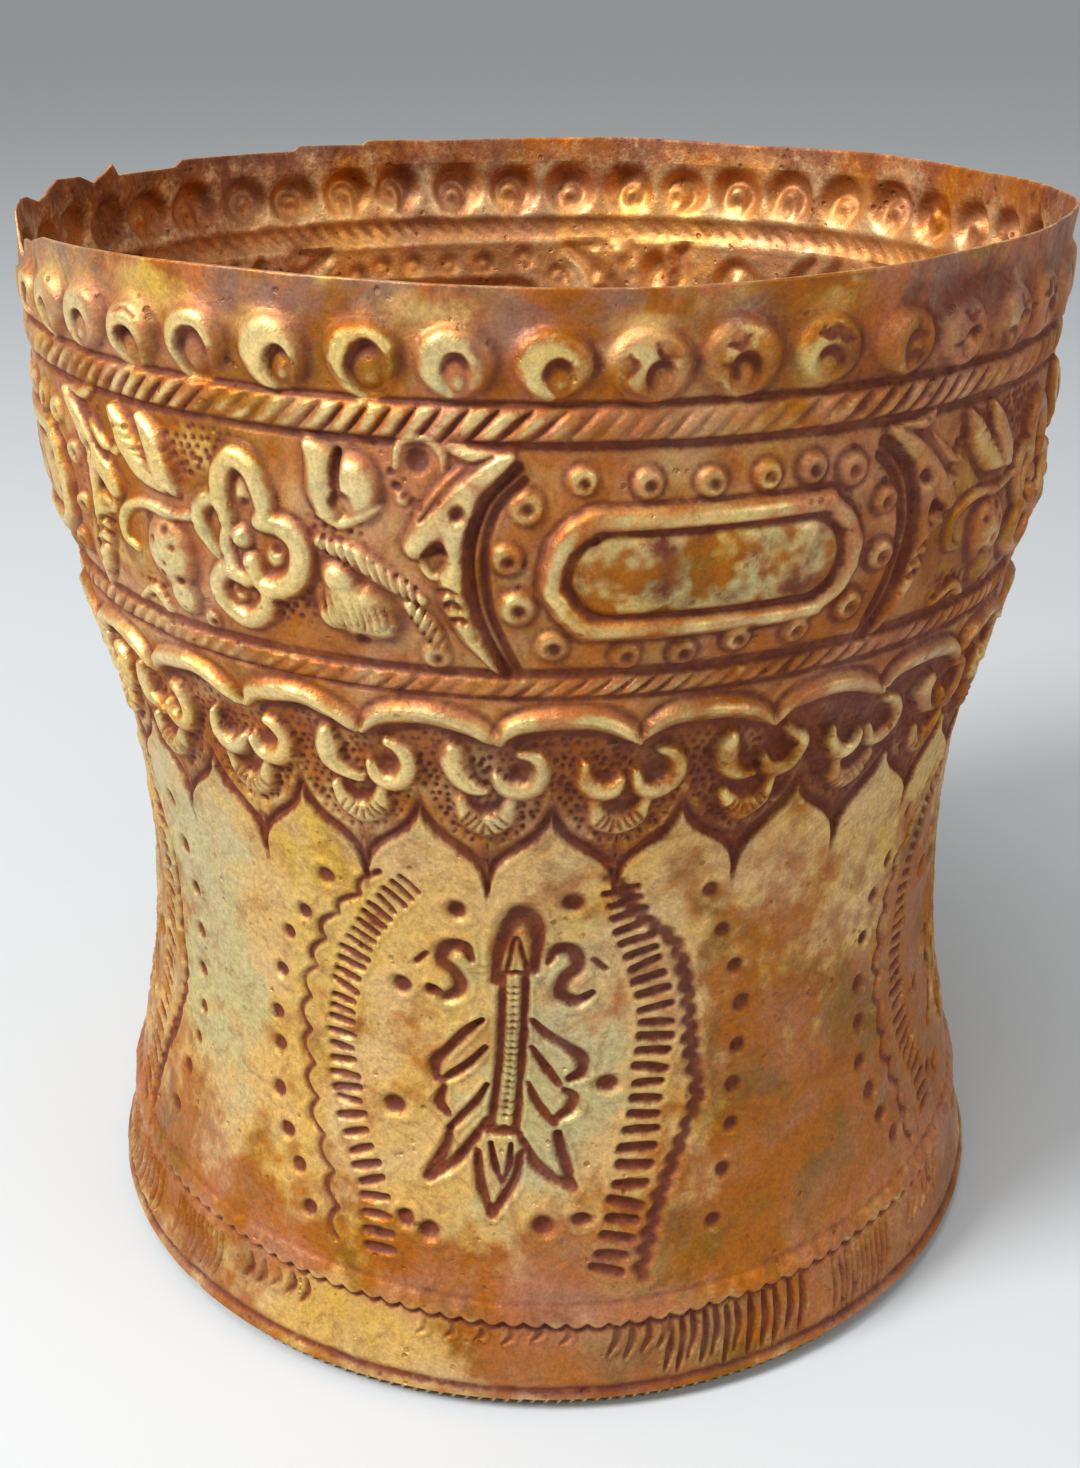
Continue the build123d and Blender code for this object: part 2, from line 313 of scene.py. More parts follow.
def stipple_map(spacing, size):
    """Close punched dots over the whole wall, used only where a mask lets them show."""
    girth = 2 * np.pi * mean_radius / spacing
    count = int(round(girth))
    gx, gy = arc / spacing * count / girth, up / (spacing * 0.87)
    jitter = hand.uniform(-0.28, 0.28, (2, int(rim_level / spacing / 0.87) + 4, count))
    best = np.full((rows, columns), 9.0)
    base_y = np.floor(gy)
    for j in (-1, 0, 1):
        cy = (base_y + j).astype(int)
        shift = 0.5 * (cy % 2)
        base_x = np.floor(gx - shift)
        for i in (0, 1):
            cx = (base_x + i).astype(int)
            ix, iy = cx % count, np.clip(cy, 0, jitter.shape[1] - 1)
            iy = np.broadcast_to(iy, ix.shape)
            off_x, off_y = gx - shift - cx - jitter[0, iy, ix], gy - cy - jitter[1, iy, ix]
            np.minimum(best, np.hypot(off_x, 0.87 * off_y) * spacing, out=best)
    return hump(best, 0, size / 2)


# The ornament comes round four times.
quarters = (0, 90, 180, 270)
scallop_count = 150


def draw_foot():
    """The flared flange: a lip line, a scalloped ledge and groups of flutes."""
    ring_line(3.5, 1.4, 0.4)
    ledge = groove_level - 0.3 - 1.5 * hump(turn, 4, 34)[None, :] + 0.35 * clouds(12)
    scallop = ledge - 0.75 * wave(arc, 2 * np.pi * mean_radius / scallop_count) - 0.2 * clouds(3)
    away = up - scallop
    ring_line(-0.35, 0.9, 0.4, scallop)
    lift(raised, 0.8 * np.clip(away / 0.5, 0, 1) * np.clip((3.4 - away) / 2.6, 0, 1))
    ring_line(2.4, 0.8, 0.12, ledge)
    # Groups of flutes: first and last angle, gap between two, and their length, width and depth.
    groups = (
        (-38, -29, 2.2, 3.6, 0.9, 0.4), (-14, 5, 3.3, 1.8, 0.7, 0.2), (8, 14, 1.9, 4, 0.8, 0.35),
        (14.5, 23, 1.35, 6.6, 0.9, 0.55), (24.5, 33, 1.75, 6.8, 0.9, 0.6), (37, 47, 0.95, 7.4, 0.5, 0.28),
    )
    for quarter in quarters:
        for first, last, gap, length, width, depth in groups:
            for angle in np.arange(first, last, gap):
                tall = length * (1 + hand.normal(0, 0.08))
                spot = Spot(angle + quarter + hand.normal(0, 0.12), 11.6 + hand.normal(0, 0.15))
                flute = [(0.2, 0), (0.3, -tall * 0.5), (-0.8, -tall)]
                spot.groove(flute, width, depth, (0.5, 1, 1, 0.4), 0.3, dark=0.25 + 0.4 * depth)


def draw_medallion(angle, shake):
    """A tall pointed panel of cross strokes and dots round a feathered arrow."""
    spot = Spot(angle, 45, shake)
    left = [(-9, 25.5), (-14.2, 19.2), (-18.1, 10.7), (-19.3, 0), (-17.5, -10), (-14.5, -18), (-13.2, -26)]
    right = [(14, 26), (16.7, 17.3), (19, 8), (18.3, 0), (16.8, -10), (14.6, -20), (12.3, -27.5)]
    spot.ladder(left, 3.0, 1.4, 1.0, 0.5, 0, 1.7, 1.3)
    spot.ladder(right, 3.5, 1.8, 1.35, 0.62, 0, 1.35, 1.2)
    left_edge = [(-13.5, 26), (-16, 22.5), (-20, 18), (-22, 13.5), (-24, 7.5), (-24.4, 2), (-23.9, -4),
                 (-22.8, -11), (-20.5, -17), (-19, -26)]
    right_edge = [(13.1, 27), (17, 21), (21, 16.7), (22.6, 10), (23.4, 2), (24, -4.4), (22.4, -9.2),
                  (20, -15), (18.2, -20), (16.5, -27.4)]
    for side, edge, thick, pitch, bulge in ((-1, left_edge, 0.8, 4.7, 1.3), (1, right_edge, 1.5, 2.4, 0.8)):
        p = smooth_line(edge, steps=30)
        run = walked(p)
        s = np.linspace(0, run[-1], 150)
        x = np.interp(s, run, p[:, 0]) + side * bulge * (wave(s, pitch) - 0.4)
        y = np.interp(s, run, p[:, 1])
        spot.groove(np.stack([x, y], axis=1), thick, 0.35 + 0.15 * (side > 0), burr=0.22)
    dots_left = [(-20.4, 23), (-24, 17.7), (-26.5, 13.5), (-28.2, 8), (-29, 2), (-29, -3.5), (-28.3, -9),
                 (-27, -14), (-25, -18.5), (-23, -23)]
    dots_right = [(25, 23), (27, 17.5), (29, 12), (29.8, 6.5), (29.8, 0.5), (29.4, -4.5), (29, -9.8),
                  (27.4, -15.3), (25, -22)]
    for x, y in dots_left + dots_right:
        spot.punch(x + hand.normal(0, 0.3), y + hand.normal(0, 0.3), 2.0 + hand.normal(0, 0.15), 0.65, 0.2)
    dots_inside = [(-4.1, 22.2), (9, 23.7), (-11.2, 10.9), (-7.4, 10.8), (-12.3, -6), (13.2, -1.3),
                   (10, -19), (-7.6, -21.6), (5.6, -19.8), (-10.4, -20.6)]
    for x, y in dots_inside:
        spot.punch(x, y, 2.4 + hand.normal(0, 0.25), 0.75, 0.3, 0.85 + hand.normal(0, 0.08))
    draw_arrow(spot)


def draw_arrow(spot):
    """The feathered arrow: a hooded head, a laddered shaft, three pairs of leaves and a pointed end."""
    even = (0.6, 1, 1, 0.8)
    # Each stroke: its width, the shares of it along the stroke, and the points.
    strokes = (
        (1.5, (0.8, 1, 1.5, 1.9, 1.5, 1.1, 0.9), ((0.2, 12.9), (0.6, 17), (1.8, 20.4), (3.2, 22),
                                                  (4.6, 20.8), (5, 18), (4.5, 14.6))),
        (0.55, (1, 1), ((1.5, 14.7), (2.7, 18.9), (3.7, 14.8))), (0.6, (1, 1), ((1.2, 14.2), (3.9, 14.2))),
        (0.95, (1, 1), ((1, 13.6), (0.6, 3.2), (-0.4, -6.6))),
        (0.95, (1, 1), ((3.6, 13.6), (3.2, 3.3), (2.5, -6.6))), (1.3, (1, 1), ((-0.8, -7.4), (2.4, -7.5))),
        (1.15, (0.5, 1, 1, 1.25, 0.8), ((-1.5, 7.4), (-3.4, 5.6), (-5.6, 2.9), (-7.2, 0.8), (-7.1, -1.3))),
        (1, even, ((-1.1, 3.7), (-2.9, 1.4), (-4.9, -0.4), (-6.5, -1.6))),
        (1.3, (0.6, 1.1, 0.6), ((-6.1, -2.4), (-6.7, -4.6), (-5.5, -6.1))),
        (1, even, ((-0.9, -1.5), (-2.4, -4.1), (-4.3, -6.4), (-5.4, -7.8))),
        (1.3, (0.6, 1.1, 1), ((-5.4, -8), (-5.9, -10.7), (-7.9, -14.6))),
        (1.2, (0.6, 1, 1.1, 0.8), ((-1, -6.1), (-2.9, -9.6), (-5, -12.4), (-7.7, -14.8))),
        (1.25, (0.5, 1, 1, 1.3, 1.2, 0.7), ((4.3, 7.7), (6.2, 5.5), (8.3, 4), (10.1, 2.4), (10.1, 0.5),
                                            (8.7, -0.4))),
        (1, even, ((4.2, 4), (5.7, 1.5), (7.5, -1.2))),
        (1.3, (0.6, 1.2, 0.8), ((8.1, -1.9), (9.2, -3), (8.6, -4.6), (7.4, -5.5))),
        (1, even, ((3.8, -1), (4.9, -3.7), (7, -6.4))),
        (1.3, (0.7, 1.1, 0.9), ((7.3, -7.6), (7.8, -10.4), (8.8, -14.4))),
        (1.4, (0.6, 1, 1.2, 0.9), ((2.7, -7.7), (4.6, -11.6), (6.7, -13.6), (9, -14.8))),
        (1.15, (0.7, 1.1, 0.8), ((-2.1, -10.5), (-1.6, -14.9), (-0.3, -18.6))),
        (1.15, (0.7, 1.1, 0.8), ((3, -10.4), (2.1, -14.3), (-0.3, -18.6))),
        (0.8, (0.6, 1, 0.6), ((-0.5, -9.2), (0, -12.1), (0.9, -14.6))),
        (0.8, (0.6, 1, 0.6), ((1.9, -9.2), (1.7, -12), (0.9, -14.6))),
    )
    for width, taper, points in strokes:
        spot.groove(points, width, 0.62, taper, 0.3)
    spot.ladder([(2.2, 12.6), (1.9, 3), (1.1, -5.8)], 1.5, 0.92, 0.42, 0.4)
    # A plain curl stands on each side of the head.
    curl = ((4.4, 15.6), (5.2, 17.2), (7.2, 17), (7.9, 15), (6.4, 13.4), (5.9, 11.4), (7.6, 10.2),
            (9.5, 11.3))
    for side in (-1, 1):
        points = [(1.8 + side * x, y) for x, y in curl]
        spot.groove(points, 1.5, 0.6, (0.5, 1, 1.2, 1.2, 1.1, 1.2, 1, 0.5), 0.3)
        spot.groove([(1.8 + side * 9.6, 15.8), (1.8 + side * 11, 14.4)], 1.5, 0.5, (0.5, 1, 0.5))


# The lappets: how far the edge stands above the tip, in mm, from a tip, 0, to halfway between two, 1.
lappet_count = 25
lappet_pitch = 360 / lappet_count
lappet_width = 15
lappet_radius = 56
first_tip = -6.5
off_tip = np.abs((turn - first_tip + lappet_pitch / 2) % lappet_pitch - lappet_pitch / 2)[None, :]
edge_shares = (0, 0.05, 0.12, 0.25, 0.42, 0.6, 0.76, 0.9, 1)
edge_rises = (-1, 0.9, 2, 3.1, 4.1, 5, 6, 7.5, 9)
edge_rise = np.interp(off_tip / (lappet_pitch / 2), edge_shares, edge_rises)
lappet_edge = tip_level + edge_rise + 0.45 * clouds(9)
swag = ((1.6, 18.6), (3.1, 20.4), (5.3, 21.3), (8.6, 21.7), (11.8, 21.1), (14.2, 19.9), (16, 18.3))


def draw_lappets():
    """A fringe of pointed lappets on a punched ground, under hanging swags."""
    in_lappet = 1 / (1 + np.exp(-(up - lappet_edge) / 0.25)) * (up < lower_rope_low)
    slope = np.hypot(1, np.gradient(lappet_edge, math.radians(column_step) * lappet_radius, axis=1))
    off_edge = np.abs(up - lappet_edge - 0.5) / slope
    from_tip = (turn - first_tip - 0.12 * lappet_pitch) % lappet_pitch / lappet_pitch * lappet_width
    swag_x, swag_y = zip(*((x - 1.8, y) for x, y in swag))
    swag_line = tip_level + np.interp(from_tip, swag_x, swag_y)[None, :] + 0.2 * clouds(5)
    above_swag = np.clip((up - swag_line) / 0.6, 0, 1) * (up < lower_rope_low + 0.2)
    ground = in_lappet * (1 - above_swag)
    lift(raised, 0.7 * above_swag * np.clip(1 - 0.1 * (up - swag_line), 0.5, 1))
    sink(cut, -0.35 * ground)
    sink(cut, -0.75 * hump(off_edge, 0, 0.5))
    lift(grime_and_shade, 0.85 * hump(off_edge, 0, 0.8, 3))
    stained = 0.15 + 0.14 * clouds(4) + 0.14 * clouds(1)
    stain(stained, (36, 82, 34, 20, 0.4))
    lift(grime_and_shade, ground * stained)
    texture[:] += 0.22 * hump(up, lappet_edge - 0.6 * slope, 0.45 * slope)
    texture[:] += 0.3 * hump(off_edge, 1.3, 0.4) * ground
    holes = stipple_map(1.12, 0.62) * ground * np.clip((off_edge - 1) / 0.5, 0, 1)
    texture[:] -= 0.4 * holes
    lift(grime_and_shade, 0.95 * holes)
    lift(shine, 0.4 * hump(off_edge, 1.5, 0.5) * ground)
    for k in range(lappet_count):
        spot = Spot(first_tip + lappet_pitch * k + hand.normal(0, 0.25), tip_level, 0.14)
        spot.bead(swag, 2.9, 1.75, (0.15, 0.85, 1.1, 1.1, 1.05, 0.85, 0.1), crown=0.9, ditch=0.3, gleam=3)
        spot.groove([(x, y - 1.9) for x, y in swag[1:-1]], 1.0, 0.4, (0.4, 1, 1, 1, 0.4), 0)
        draw_curls(spot, k)


def draw_curls(spot, k):
    """The pair of curls in a lappet, unlike from one to the next, with a ribbed bud under them."""
    if k % 2:
        curl = [(-3.9, 15.8), (-3.8, 13.8), (-2.6, 12.4), (-0.9, 12.4), (0.2, 13.8)]
        spot.bead(curl, 2.5, 1.5, (0.5, 1, 1.25, 1.1, 0.5), crown=0.9)
    else:
        curl = [(-2.9, 17.6), (-3.1, 15.9), (-2.5, 13.9), (-1.2, 12.8), (0.3, 12.2)]
        spot.bead(curl, 3.2, 1.6, (0.75, 1.1, 0.95, 0.65, 0.35), crown=0.9)
    curl = [(1.5, 14.2), (2.3, 12.7), (3.9, 12.2), (5.4, 13.2), (5.9, 15.1), (5.1, 16.8), (3.8, 17.4)]
    spot.bead(curl, 2.3, 1.5, (0.55, 1, 1.25, 1.15, 1, 0.9, 0.6), crown=0.9)
    spot.punch(3.6, 14.9, 1.9, 0.6, 0)
    bud = [(-2.6, 10.7), (-1.9, 8.5), (0, 7.7), (1.9, 8.7), (2.7, 10.7)]
    spot.bead(bud, 2.6, 1.3, (0.6, 1.1, 1.25, 1.1, 0.6), crown=0.9)
    spot.groove([(-1.6, 10.8), (0, 10), (1.8, 10.9)], 1.0, 0.4, (0.4, 1, 0.4), 0)
    spot.ladder([(-2.3, 8.9), (0, 7.6), (2.4, 9)], 1.4, 0.78, 0.5, 0.75)


def oval(half_long, half_high):
    """Points round a long shape with round ends."""
    points = []
    for a in np.linspace(0, 2 * np.pi, 44, endpoint=False) + 0.01:
        end = math.copysign(half_long - half_high, math.cos(a))
        points.append((half_high * math.cos(a) + end, half_high * math.sin(a)))
    return points


def draw_cartouche(spot):
    """A long raised frame with round ends and a domed bare field, ringed by small dotted domes."""
    frame_taper = (1, 0.9, 1.1, 0.95, 1.08, 0.9, 1)
    spot.bead(oval(15.9, 5.8), 2.6, 1.4, frame_taper, closed=True, crown=0.95, ditch=0.25, gleam=4)
    spot.groove(oval(14.5, 4.5), 0.6, 0.2, closed=True, burr=0.05)
    place, x, y = spot.window(np.array([(-16.0, -6.5), (16, 6.5)]), 1)
    inner = np.hypot(np.clip(np.abs(x) - 9.8, 0, None), y) / 4.25
    field = np.clip((1.05 - inner) / 0.2, 0, 1)
    lift(raised, 0.95 * np.clip(1.08 - inner ** 2, 0, 1) ** 0.35, place)
    texture[place] += 0.16 * clouds(0.5)[place] * field
    lift(bare_field, field, place)
    shine[place] *= 1 - field * (inner < 1)
    domes = (
        (-12.9, 9.8), (-6.2, 9.4), (-0.2, 9.3), (5.5, 9.5), (10.5, 9.4), (15.2, 8.6), (-18.4, 7.6),
        (-20.4, 1.9), (-19.5, -3.3), (-16, -7.5), (-8.4, -8.9), (-2.4, -8.9), (3.9, -8.3), (10.4, -7.9),
        (16.4, -6.6), (19.6, 4.6), (20, -1.4),
    )
    for x, y in domes:
        spot.ring_dot(x + hand.normal(0, 0.2), y + hand.normal(0, 0.15), 3.5 + hand.normal(0, 0.2), 1.0)


def draw_bracket(spot, side):
    """The double bow at an end of the oval, with a broad lobed leaf that points away from it."""
    def at(points):
        return [(side * x, y) for x, y in points]
    spot.bead(at([(19.8, 12.1), (22.2, 10.3), (24.9, 8.2), (27.1, 5.6), (29.4, 2.9)]), 3.7, 1.35,
              (0.3, 0.85, 1.1, 1.05, 0.75), crown=0.55)
    spot.bead(at([(24, 7.6), (25.3, 4.6), (25.3, 1.4), (25.6, -1.3)]), 2.9, 1.15, (1, 1, 0.8, 1),
              crown=0.55)
    spot.bead(at([(25.5, 0), (25.2, -2.8), (23.7, -6.6), (21.2, -10.8)]), 3.5, 1.2, (0.8, 1, 0.75, 0.15),
              crown=0.55)
    spot.bead(at([(19.6, 12.3), (22.4, 12.1), (24.6, 12.5), (26, 13)]), 1.9, 0.95, (0.4, 1, 1, 0.5))
    spot.bead(at([(26.2, 0.2), (27.6, -0.2), (28.6, 1), (28, 2.2)]), 1.0, 0.6, (0.6, 1, 0.6))
    spot.groove(at([(21.3, 11.9), (23.6, 11), (26.3, 8.3), (28.6, 5.6)]), 0.9, 0.55, (0.4, 1, 1, 0.4))
    spot.groove(at([(28.4, 2.0), (27, 3.0), (26.2, 2.4)]), 1.2, 0.7, (0.4, 1, 0.6))
    spot.punch(side * 25, 6.4, 2.1, 1.2, 0)
    spot.groove(at([(19.4, 10.8), (22.3, 8.1), (23.7, 4.3), (24.1, 0.5), (23.4, -3.9), (22, -7.9),
                    (20.5, -11.1)]), 1.15, 0.75, burr=0.05)
    spot.groove(at([(18.6, 9.6), (20.9, 7.2), (22.2, 3.9), (22.5, 0.1), (21.8, -3.8), (20.5, -7.8),
                    (19.2, -11.1)]), 0.8, 0.5)
    for x, y in ((26.1, -1.5), (25.6, -2.9), (25, -4.4)):
        spot.groove(at([(x - 0.8, y - 0.3), (x, y + 0.3), (x + 0.8, y - 0.2)]), 0.65, 0.7, burr=0)
    spot.punch(side * 23.4, -6.5, 0.9, 0.6, 0)
    spot.knob(side * 30.4, 7.6, 1.8, 0.5)
    for k in range(7):
        spot.punch(side * (28.6 + 0.5 * k) + hand.normal(0, 0.2), 6.6 + 0.5 * k + hand.normal(0, 0.3), 0.8,
                   0.3)


def draw_flower(spot):
    """The four-looped flower with its leaves, bud, curls and stems."""
    spot.bead([(3.2, 2.8), (3.1, 5.6), (1.9, 8), (0.1, 8.7), (-1.6, 7.4), (-2, 4.6), (-1.3, 2.2)], 2.6,
              1.45, (1, 1.05, 1.1, 1.1, 1.1, 1, 0.9))
    spot.bead([(2.8, 2.4), (5.4, 2.2), (7.1, 0.2), (6.6, -2.8), (4.4, -4.6), (2.2, -4.2), (1.2, -2)], 2.6,
              1.45, (0.9, 1.05, 1.1, 1.1, 1.1, 1, 0.9))
    spot.bead([(3.6, -5), (1.8, -7.7), (-0.7, -8.7), (-3, -7.6), (-3.7, -5.4), (-2.3, -3.6), (0.2, -4.2)],
              2.4, 1.4, (0.9, 1.05, 1.1, 1.1, 1.1, 1, 0.9))
    spot.bead([(-1.8, 3.6), (-4, 3.9), (-5.4, 2.4), (-5, 0.2), (-3.4, -2.2)], 1.9, 1.15,
              (0.8, 1.1, 1.2, 1.1, 0.6))
    spot.bead([(-1.4, 1.6), (-2, -0.6), (-1.6, -2.8)], 1.8, 1.0)
    spot.knob(0.2, 0.4, 2.7, 1.4)
    spot.knob(0.6, 5.2, 1.8, 0.55, 1.8)
    spot.knob(4.0, -1.2, 2.6, 0.55)
    spot.knob(-1, -6.1, 2.2, 0.5)
    for x, y in ((0.8, 4.2), (4.4, -0.4), (-0.8, -5.6)):
        spot.punch(x, y, 1.0, 0.35)
    # The curled leaf above, to the right
    spot.bead([(8.8, 11.4), (9.9, 9.4), (10.2, 7), (10.9, 4.9)], 3.7, 1.35, (0.45, 1, 1.05, 0.8), crown=0.7)
    spot.knob(13.6, 7.4, 5.4, 1.8, 1.18, 0, 0.7)
    spot.groove([(11.9, 10.6), (11.5, 8.6), (12, 7.2)], 1.3, 1.1, (0.5, 1, 0.6), 0)
    spot.scoop(12.4, 5.6, 2.8, 0.8, math.radians(-60))
    spot.bead([(9.4, 4.4), (11.6, 3.4), (14.2, 3.9), (15.8, 5.6)], 1.1, 0.8, (0.6, 1.1, 1, 0.5))
    # The fan leaf below, to the right
    spot.knob(12.9, -5.6, 9.2, 1.4, 0.7, -18)
    spot.knob(11.4, -2.3, 4.4, 1.6, 0.8, -20)
    spot.knob(15.4, -6.8, 4.2, 1.45, 0.85, -30)
    spot.knob(10.4, -6.4, 3.8, 1.35, 1.0, 10)
    for k in range(9):
        spot.groove([(9.5 + 0.82 * k, -3.9 - 0.12 * k), (9.9 + 0.84 * k, -5.8 - 0.1 * k),
                     (10.4 + 0.72 * k, -7.6)], 0.42, 0.4, (0.3, 1, 0.4), 0.08)
    spot.punch(13.2, -9, 1.6, 0.6, 0)
    # The round leaf and the bud, to the left
    spot.knob(-10.9, -3.6, 7.4, 1.5, 1.15, 12)
    spot.knob(-9.8, -8.4, 4.6, 1.2, 1.0, 0)
    for x, y in ((-12.6, -2.2), (-11, -4.6), (-9.6, -2.6), (-12, -6), (-9.4, -6.4), (-10.6, -0.9)):
        spot.punch(x, y, 1.0, 0.4)
    spot.bead([(-18, 11), (-16.4, 8.2), (-13.4, 5.4), (-10, 3.9)], 3.4, 1.45, (0.3, 1.1, 1.15, 0.5),
              crown=0.8)
    spot.bead([(-13.4, 11), (-11.6, 8.4), (-9.8, 5.6), (-8.6, 3.8)], 3.0, 1.35, (0.3, 1.1, 1.15, 0.5),
              crown=0.8)
    for k in range(6):
        spot.groove([(-17.4 + 1.2 * k, 9.4 - 0.95 * k), (-15.6 + 1.1 * k, 9.2 - 1.0 * k)], 0.5, 0.4,
                    (0.3, 1, 0.3), 0.1)
    # Stems and tendrils
    spot.bead([(-6, 1.6), (-9.6, 0.9), (-15, 1.2), (-18.4, -0.6), (-19, -3.4), (-17, -4.6)], 1.5, 0.85,
              (0.8, 0.8, 1, 1, 1, 0.5))
    spot.bead([(9.2, 1.4), (13.2, 0), (16.8, -1.9), (19.8, -3.9)], 2.2, 1.0, (0.6, 1.1, 1, 0.5))
    spot.ladder([(9.8, 1.2), (13.2, 0), (16.8, -1.9), (19.4, -3.6)], 2.1, 1.15, 0.5, 0.45, 42)
    spot.bead([(18.6, -4.4), (20.4, -6.6), (21.8, -9)], 2.1, 0.85, (0.6, 1.1, 0.7))
    spot.ladder([(18.8, -4.6), (20.4, -6.6), (21.6, -8.8)], 1.9, 1.05, 0.5, 0.45, 30)
    spot.bead([(17.9, 9.2), (18.2, 11.8), (20.4, 12.6), (22.4, 11.4), (22.6, 9.4)], 0.9, 0.7,
              (0.6, 1, 1.2, 1.3, 0.6))
    spot.punch(19.9, 10.4, 2.3, 0.7, 0.1)
    spot.ring_dot(21, -10.1, 3.3, 0.8)
    spot.ring_dot(-6.2, -10.4, 2.4, 0.7)
    spot.bead([(23.2, 6.6), (22.2, 3.6), (20.4, 3.2)], 1.4, 0.7, (0.4, 1, 0.6))
    spot.bead([(-19, -11), (-15.5, -9.2), (-13.4, -10.8)], 1.5, 0.8, (0.4, 1, 0.8))
    for k in range(4):
        spot.bead([(-18.4 - 0.8 * k, 5.8 - 2.1 * k), (-21 - 0.4 * k, 6.8 - 2.3 * k),
                   (-23.8, 9.4 - 2.9 * k)], 1.3, 0.8, (0.4, 1.1, 0.3))


def draw_frieze():
    """Four long oval panels with four flowers between them, on a punched ground."""
    for height in (frieze_low + 0.5, frieze_high - 0.4):
        ring_line(height, 0.8, 0.3)
    in_frieze = (up > frieze_low + 1) * (up < frieze_high - 1)
    punched = np.zeros((rows, columns))
    patches = (
        (-33.5, 120, 4.2, 3), (-37, 118, 3, 2.6), (-19, 113, 3, 1.6), (-25, 104, 3, 2), (-44, 101, 3, 2),
    )
    for quarter in quarters:
        for angle, height, across, tall in patches:
            away = (turn - angle - quarter + 180) % 360 - 180
            punched += hump(away, 0, across, 4)[None, :] * hump(up, height, tall, 4)
    holes = stipple_map(1.15, 0.72) * in_frieze * np.clip(punched, 0, 1)
    texture[:] -= 0.38 * holes
    lift(grime_and_shade, 0.9 * holes)
    for quarter in quarters:
        panel = Spot(15.3 + quarter + hand.normal(0, 0.3), 109.4, 0.1)
        draw_cartouche(panel)
        draw_bracket(panel, -1)
        draw_bracket(panel, 1)
        draw_flower(Spot(-29.6 + quarter + hand.normal(0, 0.3), 110.4, 0.12))


boss_count = 43
first_boss = 0.4


def draw_boss(spot, k):
    """One round boss: a soft shoulder and a dome, dented from below so that an arch is left."""
    place, x, y = spot.window(np.array([(-4.4, -4.3), (4.4, 4.3)]), 0.8)
    size = 3.85 + hand.normal(0, 0.12)
    out = np.hypot(x, y / (0.95 + hand.normal(0, 0.03))) / size
    lift(raised, 1.95 * np.clip(1 - out ** 2, 0, 1) ** 0.75 + 0.6 * hump(out, 0, 1.02, 5), place)
    # Painted highlight on the upper left of each dome, and painted shade at the foot of its lower right, as
    # from a lamp at the upper left.
    lit_way = math.radians(152 + hand.normal(0, 14))
    lit = np.clip(0.42 + 0.8 * np.cos(np.arctan2(y, x) - lit_way), 0, 1)
    lift(shine, 1.15 * hump(out, 0.4, 0.34) * lit, place)
    lift(grime_and_shade, 0.35 * hump(out, 1.06, 0.14) * (1 - lit), place)
    way = math.radians(-66 + hand.normal(0, 22))
    reach = 1.5 + hand.normal(0, 0.25)
    dent_x, dent_y = reach * math.cos(way), reach * math.sin(way)
    width = 3.3 + hand.normal(0, 0.3)
    spot.scoop(dent_x, dent_y, width, 1.95 + hand.normal(0, 0.2), way, 1.3 + hand.normal(0, 0.12), 0.5)
    # A painted highlight runs over the top of the dent and down its left side, on a low ridge.
    around = np.radians(np.linspace(35, 245, 9) + hand.normal(0, 12))
    edge = [(dent_x + 0.63 * width * math.cos(a), dent_y + 0.78 * width * math.sin(a)) for a in around]
    p = spot.line(edge)
    edge_place, q = spot.along(p, spot.widths(p, 1.3, (0.4, 0.9, 1.3, 1.3, 0.6)), 1.2)
    lift(shine, 0.95 * hump(q, 0, 1), edge_place)
    raised[edge_place] += 0.18 * hump(q, 0, 1)
    marks = {"taper": (0.4, 1, 0.4), "burr": 0.2}
    if 8 < spot.angle < 78 or (90 < spot.angle < 280 and k % 6 == 2):
        # A boss beaten out of shape: two more dents, each with a cut across it.
        shine[place] *= 0.75
        for push_way in hand.uniform(0, 2 * math.pi, 2):
            bx, by = 2.1 * math.cos(push_way), 2.1 * math.sin(push_way)
            spot.scoop(bx, by, 1.9, 1.0, push_way, 1.1, 0.3)
            scar = [(bx - 1.1 * by / 2, by + 1.1 * bx / 2), (0.7 * bx, 0.7 * by),
                    (bx + 1.1 * by / 2, by - 1.1 * bx / 2)]
            spot.groove(scar, 0.8, 0.8, dark=0.6, **marks)
    if k % 5 == 1:
        spot.groove([(-2.9, -0.9), (-1.9, -2.6), (0.2, -3.4)], 0.6, 0.4, dark=0.4, **marks)
    if k % 5 == 3:
        spot.groove([(-1.4, 1.8), (0.3, 2.3), (1.9, 1.6)], 0.5, 0.5, dark=0.5, **marks)


def draw_bosses():
    """The row of round bosses under the rim, each dented by hand and none quite like the next."""
    for k in range(boss_count):
        angle = first_boss + 360 * k / boss_count + hand.normal(0, 0.25)
        draw_boss(Spot(angle, boss_level + hand.normal(0, 0.2)), k)


draw_foot()
for angle, shake in ((-6, 0.0), (75, 0.15), (176, 0.18), (-83, 0.18)):
    draw_medallion(angle, shake)
draw_lappets()
rope(lower_rope_low, lower_rope_high, 160, 0.65, 0.62)
rope(frieze_high, upper_rope_high, 148, 0.85, 0.75)
for height in (lower_rope_low, lower_rope_high, frieze_high, upper_rope_high):
    ring_line(height, 0.7, 0.35)
draw_frieze()
draw_bosses()

